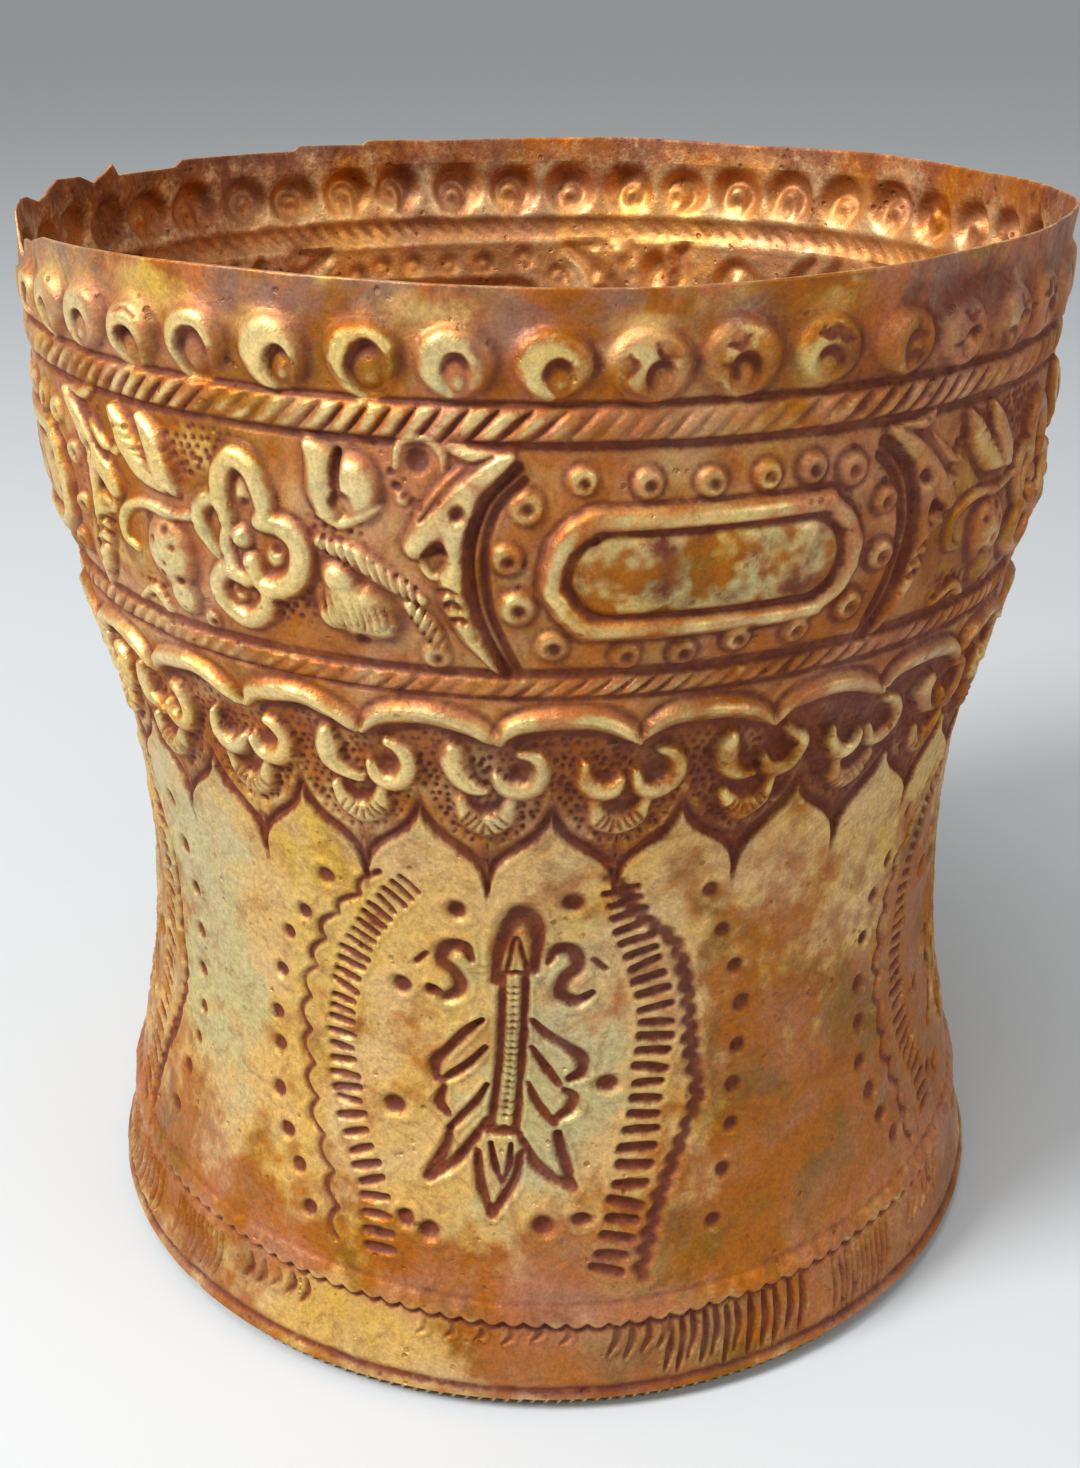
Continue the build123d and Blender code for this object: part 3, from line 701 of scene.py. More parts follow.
# The whole relief, outside and inside, with what lies hollow and what stands proud of it.
grain_marks = 0.045 * clouds(0.45) + 0.09 * clouds(1.5) + 0.1 * clouds(4)
hammered = raised * (1 + 0.1 * clouds(1.3) + 0.1 * clouds(4))
relief = 0.76 * blur(hammered, 0.13) + 0.32 * blur(raised, 0.8) + cut
relief = relief + texture * np.clip(1 - raised / 0.9, 0, 1) + grain_marks
near, wide = blur(relief, 0.7), blur(relief, 2.6)
hollows = 0.42 * np.clip((near - relief - 0.06) / 0.35, 0, 1)
hollows = hollows + 0.15 * np.clip((wide - near - 0.1) / 0.7, 0, 1)
recess = grime_and_shade * (1 - 0.5 * shine) + hollows * (1 - dented)
proud = np.clip((relief - near - 0.05) / 0.3, 0, 1)
crest = worn_and_lit * np.clip(shine * (1 - grime_and_shade) + 0.35 * proud, 0, 1)
# Painted highlight: each pale crest is made brighter on one side of its form than on the other, as a lamp
# from that side would show it.
lean_cells = int(0.3 / row_step)
lit_side_crest = np.roll(crest, (-lean_cells, 2 * lean_cells), axis=(0, 1))
crest = 0.45 * crest + 0.55 * np.minimum(crest, lit_side_crest)
recess, crest = np.clip(blur(recess, 0.1), 0, 1), np.clip(blur(crest, 0.14), 0, 1)
proud_inside = np.clip(blur(wide - relief, 0.25) * 0.7 + 0.1, 0, 1) * np.clip(worn_and_lit, 0.3, 1)
inner_relief = blur(relief, 0.34) * np.clip((up - groove_level) / 8, 0, 1)

# Slow unevenness of the hand-raised wall, with the left of the rim pulled out.
uneven = 0.45 * clouds(24) * np.clip((up - 6) / 20, 0, 1)
stain(uneven, (-90, 124, 32, 18, 1.9))
body_radius = blur(np.repeat(plain_radius[:, None], columns, axis=1), 1.2)
body_radius[level < 6] = plain_radius[level < 6, None]


def by_height(heights, values):
    """A map that changes with height alone."""
    return np.interp(level, heights, values)[:, None] + np.zeros(columns)


# The colour of each band: pale where the wall is rubbed, mauve where the skin of the metal is whole.
above_lappets = 1 / (1 + np.exp(-(up - lappet_edge - 0.2) / 0.3))
tone = by_height((2, 6, 13, 16, 22, 30, 60, 80, 98, 122, 130, 134, 138),
                 (0.4, 0.4, 0.3, 0.25, 0.42, 0.6, 0.8, 0.75, 0.3, 0.28, 0.3, 0.2, 0.15))
tone = tone * (1 - above_lappets) + np.minimum(tone, 0.2 + 0.08 * (up > 92)) * above_lappets
mauve = by_height((2, 8, 12, 16, 22, 88, 93, 110, 124, 131, 135, 138),
                  (0.2, 0.1, 0.6, 0.7, 0.1, 0.1, 0.5, 0.55, 0.6, 0.7, 0.9, 0.9))
tone = tone * (1 - bare_field) + (0.44 + 0.3 * clouds(0.9) + 0.3 * clouds(0.4)) * bare_field
mauve = mauve * (1 - bare_field)
# Painted shade: above the lappets the wall is darkened a little all round and much more on the right, which
# is turned away from the lamps, and the crests there are dulled.
right_side = hump(turn, 47, 36)[None, :] * np.clip((up - 66) / 12, 0, 1)
shaded = 0.06 + (0.3 + 0.1 * clouds(1.2)) * right_side
recess = np.clip(recess + above_lappets * shaded * (1 - shine) * (1 - bare_field), 0, 1)
crest = crest * (1 - 0.5 * bare_field) * (1 - 0.3 * right_side)
recess = np.clip(recess + bare_field * (0.24 + 0.36 * clouds(0.8)), 0, 1)
stain(
    tone,
    (-32, 68, 9, 12, 0.3), (44, 42, 20, 30, -0.5), (26, 22, 16, 12, -0.25), (8, 16, 16, 8, -0.25),
    (-34, 20, 14, 8, -0.25), (-22, 8, 12, 4, 0.6), (20, 70, 8, 6, -0.35), (64, 45, 14, 34, -0.35),
    (120, 40, 30, 24, -0.4), (-150, 50, 25, 20, -0.25), (170, 26, 18, 12, -0.3), (-110, 30, 18, 16, -0.35),
    (-46, 100, 10, 8, 0.25), (-40, 131, 16, 5, 0.25), (-26, 8.5, 9, 5, 0.6), (4, 6, 12, 5, -0.45),
    (-6, 9, 6, 4, -0.35), (40, 8, 16, 8, -0.35), (-12, 20, 5, 3, -0.3), (6, 19, 5, 3, -0.2),
    (30, 36, 12, 14, -0.15), (-8, 28, 16, 7, 0.15), (2, 68, 5, 4, -0.35), (12, 58, 5, 4, -0.3),
    (24, 50, 5, 8, -0.3),
)
tone = np.clip(tone + 0.2 * clouds(6) + 0.2 * clouds(1.8) + 0.14 * clouds(0.6), 0, 1)
stain(tone, (-34, 82, 24, 11, 0.22), (-42, 42, 15, 18, 0.35))

# From silvery green, 0, to yellow, 1.
hue = 0.5 + 0.14 * clouds(7) + 0.08 * clouds(2)
stain(
    hue,
    (-50, 58, 13, 26, -0.42), (-27, 64, 7, 22, 0.42), (-20, 8, 14, 5, 0.4), (32, 28, 18, 16, 0.28),
    (6, 46, 10, 12, -0.22), (14, 109, 15, 5, -0.3), (-40, 136, 22, 4, 0.3), (52, 60, 20, 26, 0.3),
    (150, 50, 30, 30, -0.25), (-130, 60, 25, 25, 0.25),
)
hue = np.clip(hue, 0, 1)

# Worn yellow patches on the plain rim, and on the punched ground behind the flower.
yellow_patches = (
    (-39.5, 135.8, 5, 2.4), (-26, 132.4, 2.6, 2), (-9, 135.5, 4, 1.8), (9, 134.6, 3, 1.6),
    (-58, 134.5, 4, 2), (27, 135.6, 4, 1.6), (-34.5, 119.5, 3.6, 2.4), (150, 135, 6, 2),
    (-140, 134.6, 5, 2.2), (96, 135.4, 5, 2),
)
for patch in yellow_patches:
    stain(mauve, (*patch, -0.8))
    stain(tone, (*patch, 0.5))
    stain(hue, (*patch, 0.25))
for patch in ((-19, 135.4, 4, 2), (0, 136.2, 3.4, 1.4), (18, 135, 5, 2), (44, 135, 8, 2.4),
              (-120, 135, 8, 2)):
    stain(recess, (*patch, 0.34))
tone, mauve, hue, recess = [np.clip(field, 0, 1) for field in (tone, mauve, hue, recess)]

# The inside keeps its own colours: dark and red near the rim, yellow where the bosses are hollow.
inner_tone = by_height((0, 60, 100, 118, 127, 131, 138), (0.1, 0.15, 0.45, 0.8, 0.7, 0.4, 0.1))
inner_tone = inner_tone + 0.25 * clouds(5) + 0.14 * clouds(1.2)
# Painted shadow inside on the left under the rim, and painted light inside on the right.
stain(inner_tone, (-116, 130, 24, 20, -0.32), (-152, 126, 18, 12, 0.2), (122, 124, 26, 20, 0.15),
      (176, 112, 22, 10, 0.2))
inner_tone = np.clip(inner_tone, 0, 1)
inner_grime_and_shade = by_height((0, 90, 118, 130, 138), (0.35, 0.25, 0.08, 0.2, 0.52)) + 0.12 * clouds(3)
# Painted shadow inside on the left under the rim.
stain(inner_grime_and_shade, (-112, 132, 22, 16, 0.25))
inner_grime_and_shade = np.clip(inner_grime_and_shade, 0, 1)

# The torn and wavy rim: turn in degrees and how far the edge stands below its full height, in mm.
rim_drop = (
    (-180, 0.6), (-166, 0.8), (-154, 0.4), (-153, 1.0), (-143.5, 0.6), (-142.5, 1.3), (-124, 0.9),
    (-122.5, 1.8), (-111.5, 1.6), (-110.5, 0.0), (-108.5, 1.0), (-106, 1.9), (-103, 0.7), (-97, 0.3),
    (-94, 1.6), (-91.5, 2.2), (-88.5, 1.2), (-85, 0.9), (-81.5, 1.6), (-80, 4.4), (-78, 6.4), (-75, 6.6),
    (-73, 4.2), (-71.5, 3.4), (-67, 3.0), (-60, 1.5), (-45, 1), (-30, 0.6), (-15, 0.8), (0, 1.2), (10, 1.3),
    (30, 0.8), (45, 0.4), (60, 0.2), (75, 0), (90, 0.2), (110, 0.8), (130, 0.5), (150, 0.9), (168, 0.4),
    (180, 0.6),
)
# Where the rim leans out, in mm, and the levels from which it is torn and thinned.
rim_flare = ((-180, 0), (-100, 0), (-96, 0.3), (-88, 1.3), (-81, 1.3), (-76, 0), (-50, 0), (60, 0),
             (76, 0.9), (90, 0.4), (110, 0), (180, 0))
rim_torn_from = 127.5
thinned_from = boss_level + 4


def sample(field, angle, height):
    """Reads a map at any turn and height."""
    x = (angle + 180) / column_step
    y = np.clip((height - lip_level) / row_step, 0, rows - 1.001)
    x0, y0 = np.floor(x).astype(int), np.floor(y).astype(int)
    fx, fy = x - x0, y - y0
    x1, x0 = (x0 + 1) % columns, x0 % columns
    top = field[y0 + 1, x0] * (1 - fx) + field[y0 + 1, x1] * fx
    low = field[y0, x0] * (1 - fx) + field[y0, x1] * fx
    return low * (1 - fy) + top * fy


# Each ring is turned in 1280 steps, which are then drawn closer together at the front.
ring_columns = 1280
sector_columns = 80
front_squeeze = 0.35


def turn_round(bm, geom, sector, steps):
    """Spins a cross-section through one sector, and doubles the sector until the ring is closed."""
    spun = {"cent": (0, 0, 0), "axis": (0, 0, 1), "dvec": (0, 0, 0)}
    bmesh.ops.spin(bm, geom=geom, angle=sector, steps=steps, **spun)
    while sector < 2 * math.pi - 0.01:
        copy = bmesh.ops.duplicate(bm, geom=bm.verts[:] + bm.edges[:] + bm.faces[:])
        moved = [part for part in copy["geom"] if isinstance(part, bmesh.types.BMVert)]
        bmesh.ops.rotate(bm, verts=moved, cent=(0, 0, 0), matrix=Matrix.Rotation(sector, 3, "Z"))
        sector *= 2
    bmesh.ops.remove_doubles(bm, verts=bm.verts, dist=1e-6)
    bmesh.ops.recalc_face_normals(bm, faces=bm.faces)


def finished(bm, name, smooth=True):
    """Turns a bmesh into an object of the scene."""
    mesh = bpy.data.meshes.new(name)
    bm.to_mesh(mesh)
    bm.free()
    if smooth:
        mesh.shade_smooth()
    thing = bpy.data.objects.new(name, mesh)
    bpy.context.collection.objects.link(thing)
    return thing


def turned_ring(name, profile):
    """A closed ring. Profile points are a height and a depth into the sheet, 0 outside to 1 inside."""
    bm = bmesh.new()
    verts = [bm.verts.new((0, -(mean_radius - depth) * MM, height * MM)) for height, depth in profile]
    edges = [bm.edges.new(pair) for pair in zip(verts, verts[1:] + verts[:1])]
    turn_round(bm, verts + edges, 2 * math.pi * sector_columns / ring_columns, sector_columns)
    return finished(bm, name)


def places(mesh):
    """The points of a mesh, in mm."""
    flat = np.empty(len(mesh.vertices) * 3)
    mesh.vertices.foreach_get("co", flat)
    return flat.reshape(-1, 3) / MM


def move_to(mesh, x, y, z):
    """Puts the points of a mesh at places in mm."""
    mesh.vertices.foreach_set("co", (np.stack([x, y, z], axis=1) * MM).ravel())
    mesh.update()


def note(mesh, name, values):
    """Keeps a number for each point of a mesh, for its material to read."""
    mesh.attributes.new(name, "FLOAT", "POINT").data.foreach_set("value", values.astype(np.float32))


def work_the_wall(thing):
    """Pushes a turned ring out to the worked surface of the sheet, and notes its wear, dirt and painted light
    and shade.
    """
    mesh = thing.data
    p = places(mesh)
    depth = mean_radius - np.hypot(p[:, 0], p[:, 1])
    even = np.arctan2(p[:, 0], -p[:, 1])
    angle = np.degrees(even - front_squeeze * np.sin(even))
    height = p[:, 2]
    seen = height + sample(wander, angle, height)
    body = sample(body_radius, angle, height) + sample(uneven, angle, height)
    weight = np.clip((height - rim_torn_from) / (rim_level - rim_torn_from), 0, 1) ** 1.5
    flare = np.interp(angle, *zip(*rim_flare)) * weight
    thickness = np.interp(height, (thinned_from, rim_level), (sheet_thickness, rim_thickness))
    outer = body + sample(relief, angle, seen)
    inner = body - thickness + sample(inner_relief, angle, seen)
    radius = outer * (1 - depth) + inner * depth + flare
    # Above the foot, what would stand out past the lip is rounded over, so that the wall stays in its size.
    room = widest_radius - soft_limit
    kept = soft_limit + room * np.tanh(np.clip(radius - soft_limit, 0, None) / room)
    radius = np.where(height > groove_level, np.minimum(radius, kept), np.minimum(radius, widest_radius))
    drop = np.interp(angle, *zip(*rim_drop)) * weight
    turned = np.radians(angle)
    move_to(mesh, radius * np.sin(turned), -radius * np.cos(turned), height - drop)
    top = sample(crest, angle, seen)
    bare_edge = np.clip(1 - np.abs(depth - 0.5) * 2.5, 0, 1) * (height > rim_level - 1)
    # Inside, dark under each outer crest, where the sheet is hollow, and the dirt and painted shadow of the
    # inner map.
    inner_dirt_and_shade = np.maximum(0.4 * top, sample(inner_grime_and_shade, angle, seen))
    note(mesh, "recess", (sample(recess, angle, seen) * (1 - depth) + inner_dirt_and_shade * depth) * (1 - bare_edge))
    inner_crest = sample(proud_inside, angle, seen)
    note(mesh, "crest", np.maximum(top * (1 - depth) + inner_crest * depth, bare_edge))
    note(mesh, "tone", sample(tone, angle, seen) * (1 - depth) + sample(inner_tone, angle, seen) * depth)
    note(mesh, "hue", sample(hue, angle, seen))
    note(mesh, "mauve", sample(mauve, angle, seen))
    note(mesh, "inside", depth)
    sharpen_ends(mesh, height, depth)


def sharpen_ends(mesh, height, depth):
    """Marks the end edges of a ring sharp, so that the shading runs on smoothly over the joint."""
    pairs = np.empty(len(mesh.edges) * 2, int)
    mesh.edges.foreach_get("vertices", pairs)
    a, b = pairs.reshape(-1, 2).T
    low, high = height.min(), height.max()
    flat = (np.abs(height[a] - height[b]) < 1e-4) & (np.abs(depth[a] - depth[b]) < 1e-4)
    ends = (np.abs(height[a] - low) < 1e-4) | ((np.abs(height[a] - high) < 1e-4) & (high < rim_level - 0.1))
    mesh.attributes.new("sharp_edge", "BOOLEAN", "EDGE").data.foreach_set("value", flat & ends)


# The rings of the wall: name, lowest and highest level, and rows of faces outside and inside.
frieze_middle = 110.4
rim_foot = 134.6
rim_rounding = 0.12
bands = (
    ("foot_flange", lip_level, groove_level, 46, 10),
    ("waist_low", groove_level, 31, 56, 10),
    ("waist_middle", 31, 47.5, 56, 10),
    ("waist_high", 47.5, 64, 56, 10),
    ("lappet_points", 64, 80, 58, 12),
    ("lappet_swags", 80, lower_rope_low, 58, 14),
    ("frieze_lower", lower_rope_low, frieze_middle, 58, 18),
    ("frieze_upper", frieze_middle, frieze_high, 48, 24),
    ("boss_band", frieze_high, rim_foot, 50, 25),
)
wall_pieces = []
for name, low, high, outer_rows, inner_rows in bands:
    profile = [(height, 0) for height in np.linspace(low, high, outer_rows + 1)]
    profile += [(height, 1) for height in np.linspace(high, low, inner_rows + 1)]
    wall_pieces.append(turned_ring(name, profile))
profile = [(height, 0) for height in np.linspace(rim_foot, rim_level - rim_rounding, 16)]
profile += [(rim_level, 0.25), (rim_level, 0.75)]
profile += [(height, 1) for height in np.linspace(rim_level - rim_rounding, rim_foot, 10)]
wall_pieces.append(turned_ring("rim_edge", profile))
for piece in wall_pieces:
    work_the_wall(piece)


# The foot wire: two strands twisted together and soldered under the lip.
wire_radius = 62.1
strand_width = 1.36
strand_offset = 0.6
strand_sides = 7
wire_level = 1.1
wire_top = 2.3
wire_turns = 122
wire_sectors = 16
sector_steps = 76


def wire_strand(name, start):
    """A round strand, turned into a ring and then twisted round the middle line of the wire."""
    bm = bmesh.new()
    bmesh.ops.create_circle(bm, cap_ends=False, segments=strand_sides, radius=strand_width / 2 * MM)
    bmesh.ops.rotate(bm, verts=bm.verts, cent=(0, 0, 0), matrix=Matrix.Rotation(math.pi / 2, 3, "X"))
    bmesh.ops.translate(bm, verts=bm.verts, vec=((wire_radius + strand_offset) * MM, 0, wire_level * MM))
    turn_round(bm, bm.verts[:] + bm.edges[:], 2 * math.pi / wire_sectors, sector_steps)
    thing = finished(bm, name)
    p = places(thing.data)
    angle = np.arctan2(p[:, 1], p[:, 0])
    out, high = np.hypot(p[:, 0], p[:, 1]) - wire_radius, p[:, 2] - wire_level
    twist = wire_turns * angle + start + 0.35 * np.sin(5 * angle) + 0.2 * np.sin(13 * angle)
    side = out * np.cos(twist) - high * np.sin(twist)
    rise = out * np.sin(twist) + high * np.cos(twist)
    radius = wire_radius + side
    level_there = np.clip(wire_level + rise, 0, wire_top)
    move_to(thing.data, radius * np.cos(angle), radius * np.sin(angle), level_there)
    note(thing.data, "crest", np.clip((side ** 2 + rise ** 2) / 1.7, 0, 1))
    return thing


wire_pieces = [wire_strand("wire_strand_1", 0), wire_strand("wire_strand_2", math.pi)]


# Materials.
def paint(red, green, blue):
    """A colour as it looks on a screen, turned into light."""
    shares = [c / 255 for c in (red, green, blue)]
    return tuple(s / 12.92 if s < 0.043 else ((s + 0.055) / 1.055) ** 2.4 for s in shares) + (1,)


class Nodes:
    """The nodes of a material or a node group: each call adds one and gives what it puts out."""

    def __init__(self, tree):
        self.tree = tree

    def feed(self, socket, value):
        """Joins a socket to another, or sets its value."""
        if isinstance(value, bpy.types.NodeSocket):
            self.tree.links.new(value, socket)
        else:
            socket.default_value = value

    def add(self, kind, inputs, output=0, **settings):
        """Adds a node with its settings and inputs."""
        node = self.tree.nodes.new("ShaderNode" + kind)
        for name, value in settings.items():
            setattr(node, name, value)
        for place, value in inputs.items():
            self.feed(node.inputs[place], value)
        return node.outputs[output]

    def times(self, a, b, clamp=False):
        return self.add("Math", {0: a, 1: b}, operation="MULTIPLY", use_clamp=clamp)

    def plus(self, a, b):
        return self.add("Math", {0: a, 1: b}, operation="ADD")

    def minus(self, a, b):
        return self.add("Math", {0: a, 1: b}, operation="SUBTRACT")

    def swing(self, value, amount):
        """A mottle as a change up and down."""
        return self.times(self.minus(value, 0.5), amount)

    def spread(self, value, low, high, out_low=0.0, out_high=1.0):
        """Stretches a value between two limits, with soft ends."""
        inputs = dict(enumerate((value, low, high, out_low, out_high)))
        return self.add("MapRange", inputs, interpolation_type="SMOOTHSTEP")

    def lay_over(self, mask, under, over):
        """Lays one colour over another where the mask is 1."""
        return self.add("Mix", {0: mask, 6: under, 7: over}, 2, data_type="RGBA")

    def object_place(self):
        return self.add("TexCoord", {}, "Object")

    def mottle(self, where, scale, detail, rough, twist=0.0):
        """Cloudy noise at one scale."""
        inputs = {"Vector": where, "Scale": scale, "Detail": detail, "Roughness": rough,
                  "Distortion": twist}
        return self.add("TexNoise", inputs, "Fac")

    def reading(self, name):
        """A number kept at the points of the mesh."""
        return self.add("Attribute", {}, "Fac", attribute_name=name)


def group(name, inputs, outputs):
    """A new node group with its own input and output nodes."""
    tree = bpy.data.node_groups.new(name, "ShaderNodeTree")
    for label, (kind, value) in inputs.items():
        socket = tree.interface.new_socket(name=label, in_out="INPUT", socket_type="NodeSocket" + kind)
        socket.default_value = value
    for label, kind in outputs.items():
        tree.interface.new_socket(name=label, in_out="OUTPUT", socket_type="NodeSocket" + kind)
    return Nodes(tree), tree.nodes.new("NodeGroupInput").outputs, tree.nodes.new("NodeGroupOutput").inputs


# The shared patina's own values: what a metal doesn't set stays as it is here.
plain_values = {"Recess": 0.0, "Crest": 0.0, "Tone": 0.5, "Mauve": 0.0, "Hue": 0.5}
plain_colours = {
    "Ground": (148, 90, 40), "Pale": (206, 176, 110), "Rubbed_and_lit": (228, 202, 142), "Skin": (152, 100, 70),
    "Dirt_and_shade": (62, 22, 4), "Cool": (186, 180, 136), "Olive": (112, 88, 34), "Rust": (140, 78, 30),
    "Ochre": (204, 156, 78), "Slate": (96, 72, 58), "Yellow": (208, 170, 84), "Crust": (132, 84, 54),
}


def build_patina_group():
    """Aged sheet metal: dirt with painted shade, pale crests from wear with painted highlights, clouded skin,
    pits and fine grain.
    """
    inputs = {label: ("Float", value) for label, value in plain_values.items()}
    inputs.update({label: ("Color", paint(*colour)) for label, colour in plain_colours.items()})
    outputs = {"Colour": "Color", "Roughness": "Float", "Metal": "Float", "Height": "Float"}
    n, given, gives = group("aged_patina", inputs, outputs)
    where = n.object_place()
    big = n.mottle(where, 55, 6, 0.62, 0.6)
    mid = n.mottle(where, 240, 6, 0.65, 0.3)
    fine = n.mottle(where, 1100, 4, 0.6)
    grit = n.mottle(where, 2600, 3, 0.7)
    pits = n.add("TexVoronoi", {"Vector": where, "Scale": 620}, "Distance")
    speck = n.times(n.spread(pits, 0.32, 0.12), n.spread(mid, 0.52, 0.66))

    # The bare metal: brown or olive where it is dull, silvery, pale or yellow where it shines.
    clouded = n.plus(n.plus(given["Tone"], n.swing(big, 0.9)), n.swing(mid, 0.9))
    green = n.times(n.spread(n.mottle(where, 90, 5, 0.6, 0.4), 0.5, 0.66), 0.6)
    ground = n.lay_over(green, given["Ground"], given["Olive"])
    hue = n.plus(given["Hue"], n.swing(n.mottle(where, 130, 6, 0.62, 0.5), 0.9))
    yellow = n.times(n.spread(hue, 0.6, 0.9), 0.85)
    cool = n.times(n.spread(hue, 0.46, 0.16), 0.8)
    pale = n.lay_over(yellow, n.lay_over(cool, given["Pale"], given["Cool"]), given["Yellow"])
    colour = n.lay_over(n.spread(clouded, 0.2, 0.75), ground, pale)

    # The whole skin over it, in mauve-brown, ochre and slate, and blooms of rust.
    skin = n.times(given["Mauve"], n.spread(big, 0.36, 0.56), True)
    ochre = n.times(n.spread(n.mottle(where, 95, 8, 0.7, 0.5), 0.5, 0.6), 0.8)
    slate = n.spread(n.mottle(where, 64, 8, 0.7, 0.9), 0.45, 0.58)
    slate = n.times(slate, n.spread(given["Mauve"], 0.55, 0.85, 0.15, 0.85))
    whole = n.lay_over(slate, n.lay_over(ochre, given["Skin"], given["Ochre"]), given["Slate"])
    colour = n.lay_over(skin, colour, whole)
    rust = n.spread(n.mottle(where, 150, 8, 0.72, 0.8), 0.5, 0.64)
    colour = n.lay_over(n.times(rust, 0.42), colour, given["Rust"])

    # Crests made pale by wear and by painted highlights, dirt with painted shade and crust where the recess
    # value is high, and dark pits.
    broken = n.plus(n.swing(mid, 1.1), n.swing(fine, 0.9))
    rubbed_and_lit = n.spread(n.minus(given["Crest"], broken), 0.08, 0.8)
    bright = n.lay_over(n.times(n.spread(hue, 0.52, 0.2), 0.55), given["Rubbed_and_lit"], given["Cool"])
    colour = n.lay_over(n.times(rubbed_and_lit, 0.94), colour, bright)
    dirt_and_shade = n.spread(n.plus(given["Recess"], broken), 0.12, 0.85)
    crusty = n.times(n.spread(n.mottle(where, 420, 5, 0.7, 0.4), 0.42, 0.62), 0.6)
    colour = n.lay_over(dirt_and_shade, colour, n.lay_over(crusty, given["Dirt_and_shade"], given["Crust"]))
    colour = n.lay_over(n.times(speck, 0.55), colour, given["Dirt_and_shade"])

    grain = n.plus(n.spread(fine, 0.25, 0.75, 0.78, 1.14), n.spread(grit, 0.3, 0.7, -0.12, 0.14))
    depth = n.spread(big, 0.3, 0.7, 1.12, 0.92)
    n.feed(gives["Colour"], n.add("HueSaturation", {"Value": grain, "Saturation": depth, "Color": colour}))
    rough = n.plus(n.spread(mid, 0.3, 0.7, 0.34, 0.54), n.times(given["Recess"], 0.32))
    n.feed(gives["Roughness"], n.minus(rough, n.times(given["Crest"], 0.08)))
    n.feed(gives["Metal"], n.spread(dirt_and_shade, 0, 1, 0.6, 0.15))
    height = n.plus(n.times(mid, 0.6), n.times(fine, 0.35))
    n.feed(gives["Height"], n.minus(height, n.times(speck, 0.8)))
    return n.tree


patina_group = build_patina_group()


def metal(name, bump, colours, values):
    """A metal finish: the shared patina with this piece's own colours and values."""
    material = bpy.data.materials.new(name)
    material.use_nodes = True
    n = Nodes(material.node_tree)
    shader = n.tree.nodes["Principled BSDF"]
    patina = n.tree.nodes.new("ShaderNodeGroup")
    patina.node_tree = patina_group
    for label, colour in colours.items():
        patina.inputs[label].default_value = paint(*colour)
    for label, value in values.items():
        patina.inputs[label].default_value = value
    bumpy = {"Strength": 1.0, "Distance": bump * MM, "Height": patina.outputs["Height"]}
    n.feed(shader.inputs["Normal"], n.add("Bump", bumpy))
    for socket, output in (("Base Color", "Colour"), ("Roughness", "Roughness"), ("Metallic", "Metal")):
        n.feed(shader.inputs[socket], patina.outputs[output])
    return material, n, patina


# Each colour of the wall, outside and inside. The dark colour of dirt also paints shade, and the pale colour
# of wear also paints highlights.
wall_colours = {
    "Ground": ((164, 98, 40), (202, 126, 66)), "Pale": ((212, 172, 106), (236, 176, 112)),
    "Rubbed_and_lit": ((226, 196, 130), (242, 208, 152)), "Skin": ((192, 112, 66), (166, 94, 50)),
    "Dirt_and_shade": ((98, 36, 5), (100, 42, 12)), "Cool": ((186, 178, 128), (196, 140, 84)),
    "Olive": ((112, 88, 34), (140, 80, 36)), "Rust": ((136, 72, 24), (150, 72, 30)),
    "Ochre": ((198, 146, 76), (224, 158, 92)), "Slate": ((132, 106, 94), (124, 70, 36)),
    "Yellow": ((210, 172, 88), (222, 164, 90)), "Crust": ((128, 66, 28), (146, 78, 34)),
}
sheet_metal, n, patina = metal("patinated_sheet", 0.3, {}, {})
for label in plain_values:
    n.feed(patina.inputs[label], n.reading(label.lower()))
inside = n.reading("inside")
for label, (outer, inner) in wall_colours.items():
    n.feed(patina.inputs[label], n.lay_over(inside, paint(*outer), paint(*inner)))

base_colours = {"Ground": (132, 82, 44), "Pale": (168, 120, 66), "Skin": (112, 74, 52)}
base_metal = metal("base_sheet", 0.3, base_colours, {"Tone": 0.35, "Mauve": 0.5, "Recess": 0.15})[0]
solder_colours = {"Ground": (118, 98, 78), "Pale": (156, 142, 118), "Skin": (98, 84, 74)}
solder_metal = metal("solder", 0.35, solder_colours, {"Tone": 0.4, "Mauve": 0.5, "Recess": 0.2})[0]
wire_colours = {"Ground": (98, 74, 42), "Pale": (142, 122, 78), "Rubbed_and_lit": (188, 168, 116),
                "Dirt_and_shade": (40, 20, 8)}
wire_metal, n, patina = metal("wire", 0.15, wire_colours, {"Tone": 0.35, "Mauve": 0.3})
n.feed(patina.inputs["Recess"], n.spread(n.reading("crest"), 0.25, 0.75, 0.7, 0.05))
n.feed(patina.inputs["Crest"], n.spread(n.reading("crest"), 0.6, 1.0))

for piece in wall_pieces:
    piece.data.materials.append(sheet_metal)
    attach(piece, "root")
    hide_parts("vessel_wall")
for piece in wire_pieces:
    piece.data.materials.append(wire_metal)
    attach(piece, "root")
    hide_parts("foot_wire")
for node, material in (("base_plate", base_metal), ("solder_seam", solder_metal)):
    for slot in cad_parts[node].material_slots:
        slot.material = material


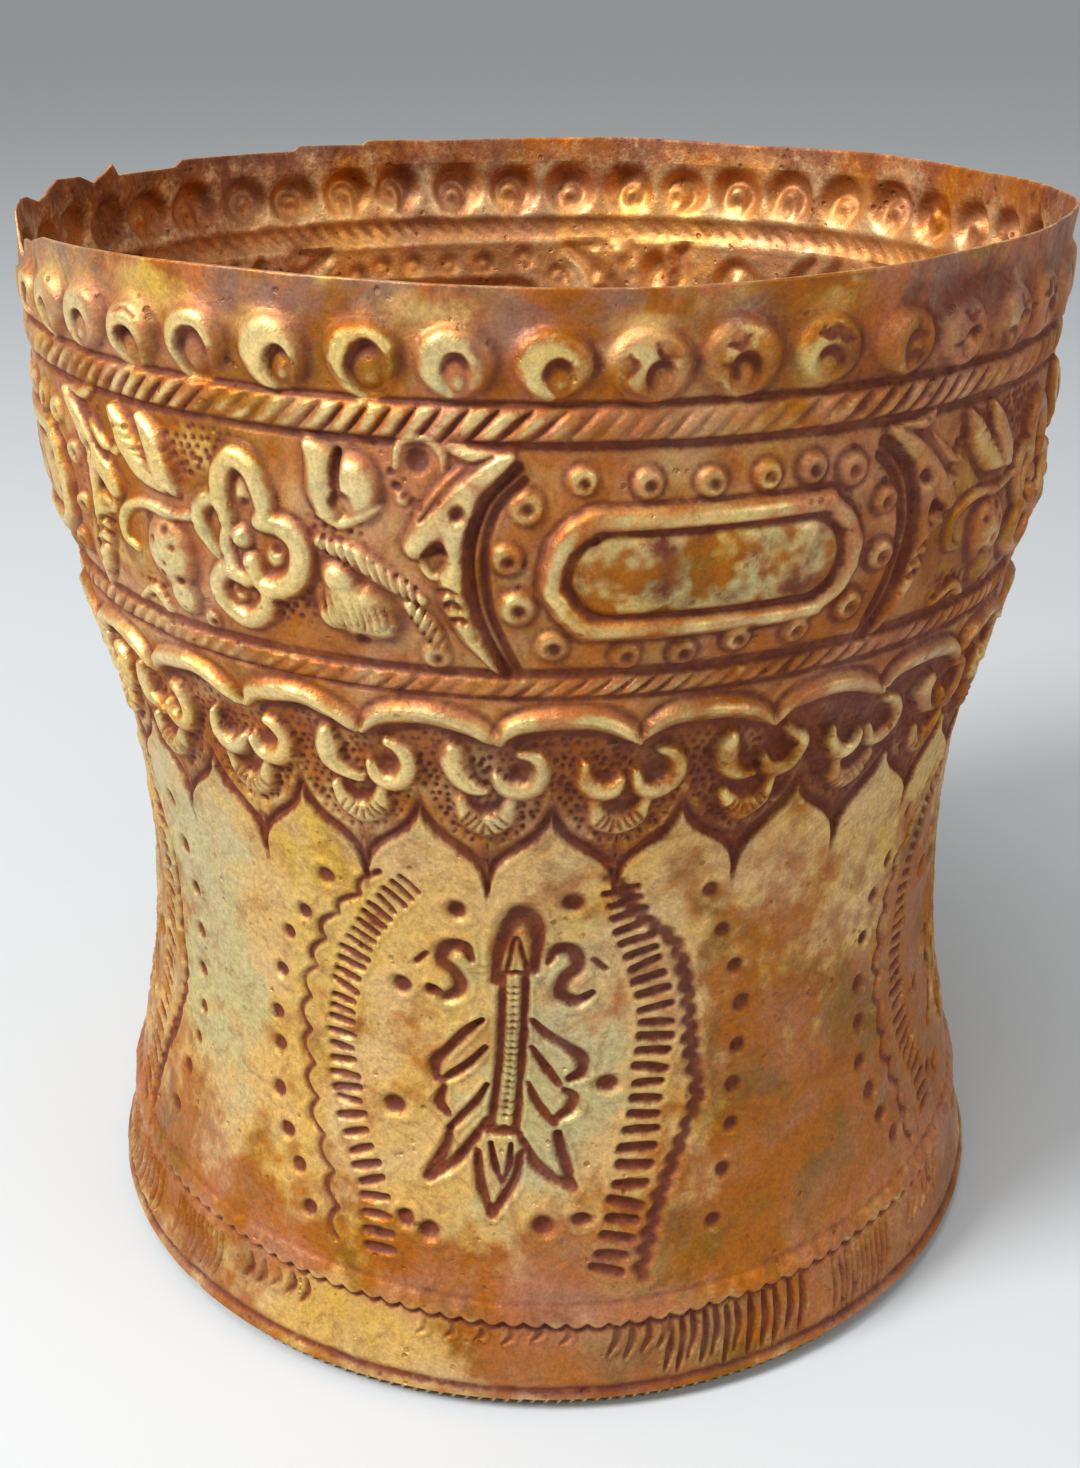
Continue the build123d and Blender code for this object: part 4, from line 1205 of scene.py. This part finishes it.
# The studio: a wide pale floor, soft lamps and a plain sky. Places and sizes in metres, power in watts.
floor_half_width = 6
floor_colour = (0.55, 0.575, 0.59, 1)
sky_colour = (0.93, 0.93, 0.93, 1)
sky_strength = 0.5
lamps_aim = Vector((0, 0, 0.07))
lamps = (
    ("window_lamp", (-0.62, -0.34, 0.72), 0.32, 10.5),
    ("side_lamp", (0.7, -0.45, 0.4), 0.5, 1.6),
    ("top_lamp", (-0.15, -0.3, 0.95), 0.4, 2.6),
)


def build_studio():
    """Lays the floor, hangs the lamps and sets the sky."""
    bm = bmesh.new()
    bmesh.ops.create_grid(bm, x_segments=1, y_segments=1, size=floor_half_width)
    floor = finished(bm, "floor", False)
    pale = bpy.data.materials.new("floor_paint")
    pale.use_nodes = True
    shader = pale.node_tree.nodes["Principled BSDF"]
    shader.inputs["Base Color"].default_value = floor_colour
    shader.inputs["Roughness"].default_value = 0.9
    floor.data.materials.append(pale)
    world = bpy.data.worlds.new("plain_sky")
    world.use_nodes = True
    world.node_tree.nodes["Background"].inputs["Color"].default_value = sky_colour
    world.node_tree.nodes["Background"].inputs["Strength"].default_value = sky_strength
    bpy.context.scene.world = world
    for name, spot, size, power in lamps:
        light = bpy.data.lights.new(name, "AREA")
        light.shape, light.size, light.energy = "DISK", size, power
        lamp = bpy.data.objects.new(name, light)
        lamp.location = spot
        lamp.rotation_euler = (lamps_aim - lamp.location).to_track_quat("-Z", "Y").to_euler()
        bpy.context.collection.objects.link(lamp)


def place_camera():
    """Sets up the camera, with the lens that the photograph's view comes from."""
    lens = bpy.data.cameras.new("photo_camera")
    lens.lens = focal_px * lens.sensor_width / photo_height_px
    lens.shift_x = -axis_offset_px / photo_height_px
    lens.clip_start, lens.clip_end = 0.01, 50
    camera = bpy.data.objects.new("photo_camera", lens)
    camera.location = (0, -camera_distance * MM, camera_height * MM)
    camera.rotation_euler = (math.radians(90 - camera_pitch), 0, 0)
    bpy.context.collection.objects.link(camera)
    bpy.context.scene.camera = camera


build_studio()
place_camera()
bpy.context.scene.view_settings.view_transform = "Standard"
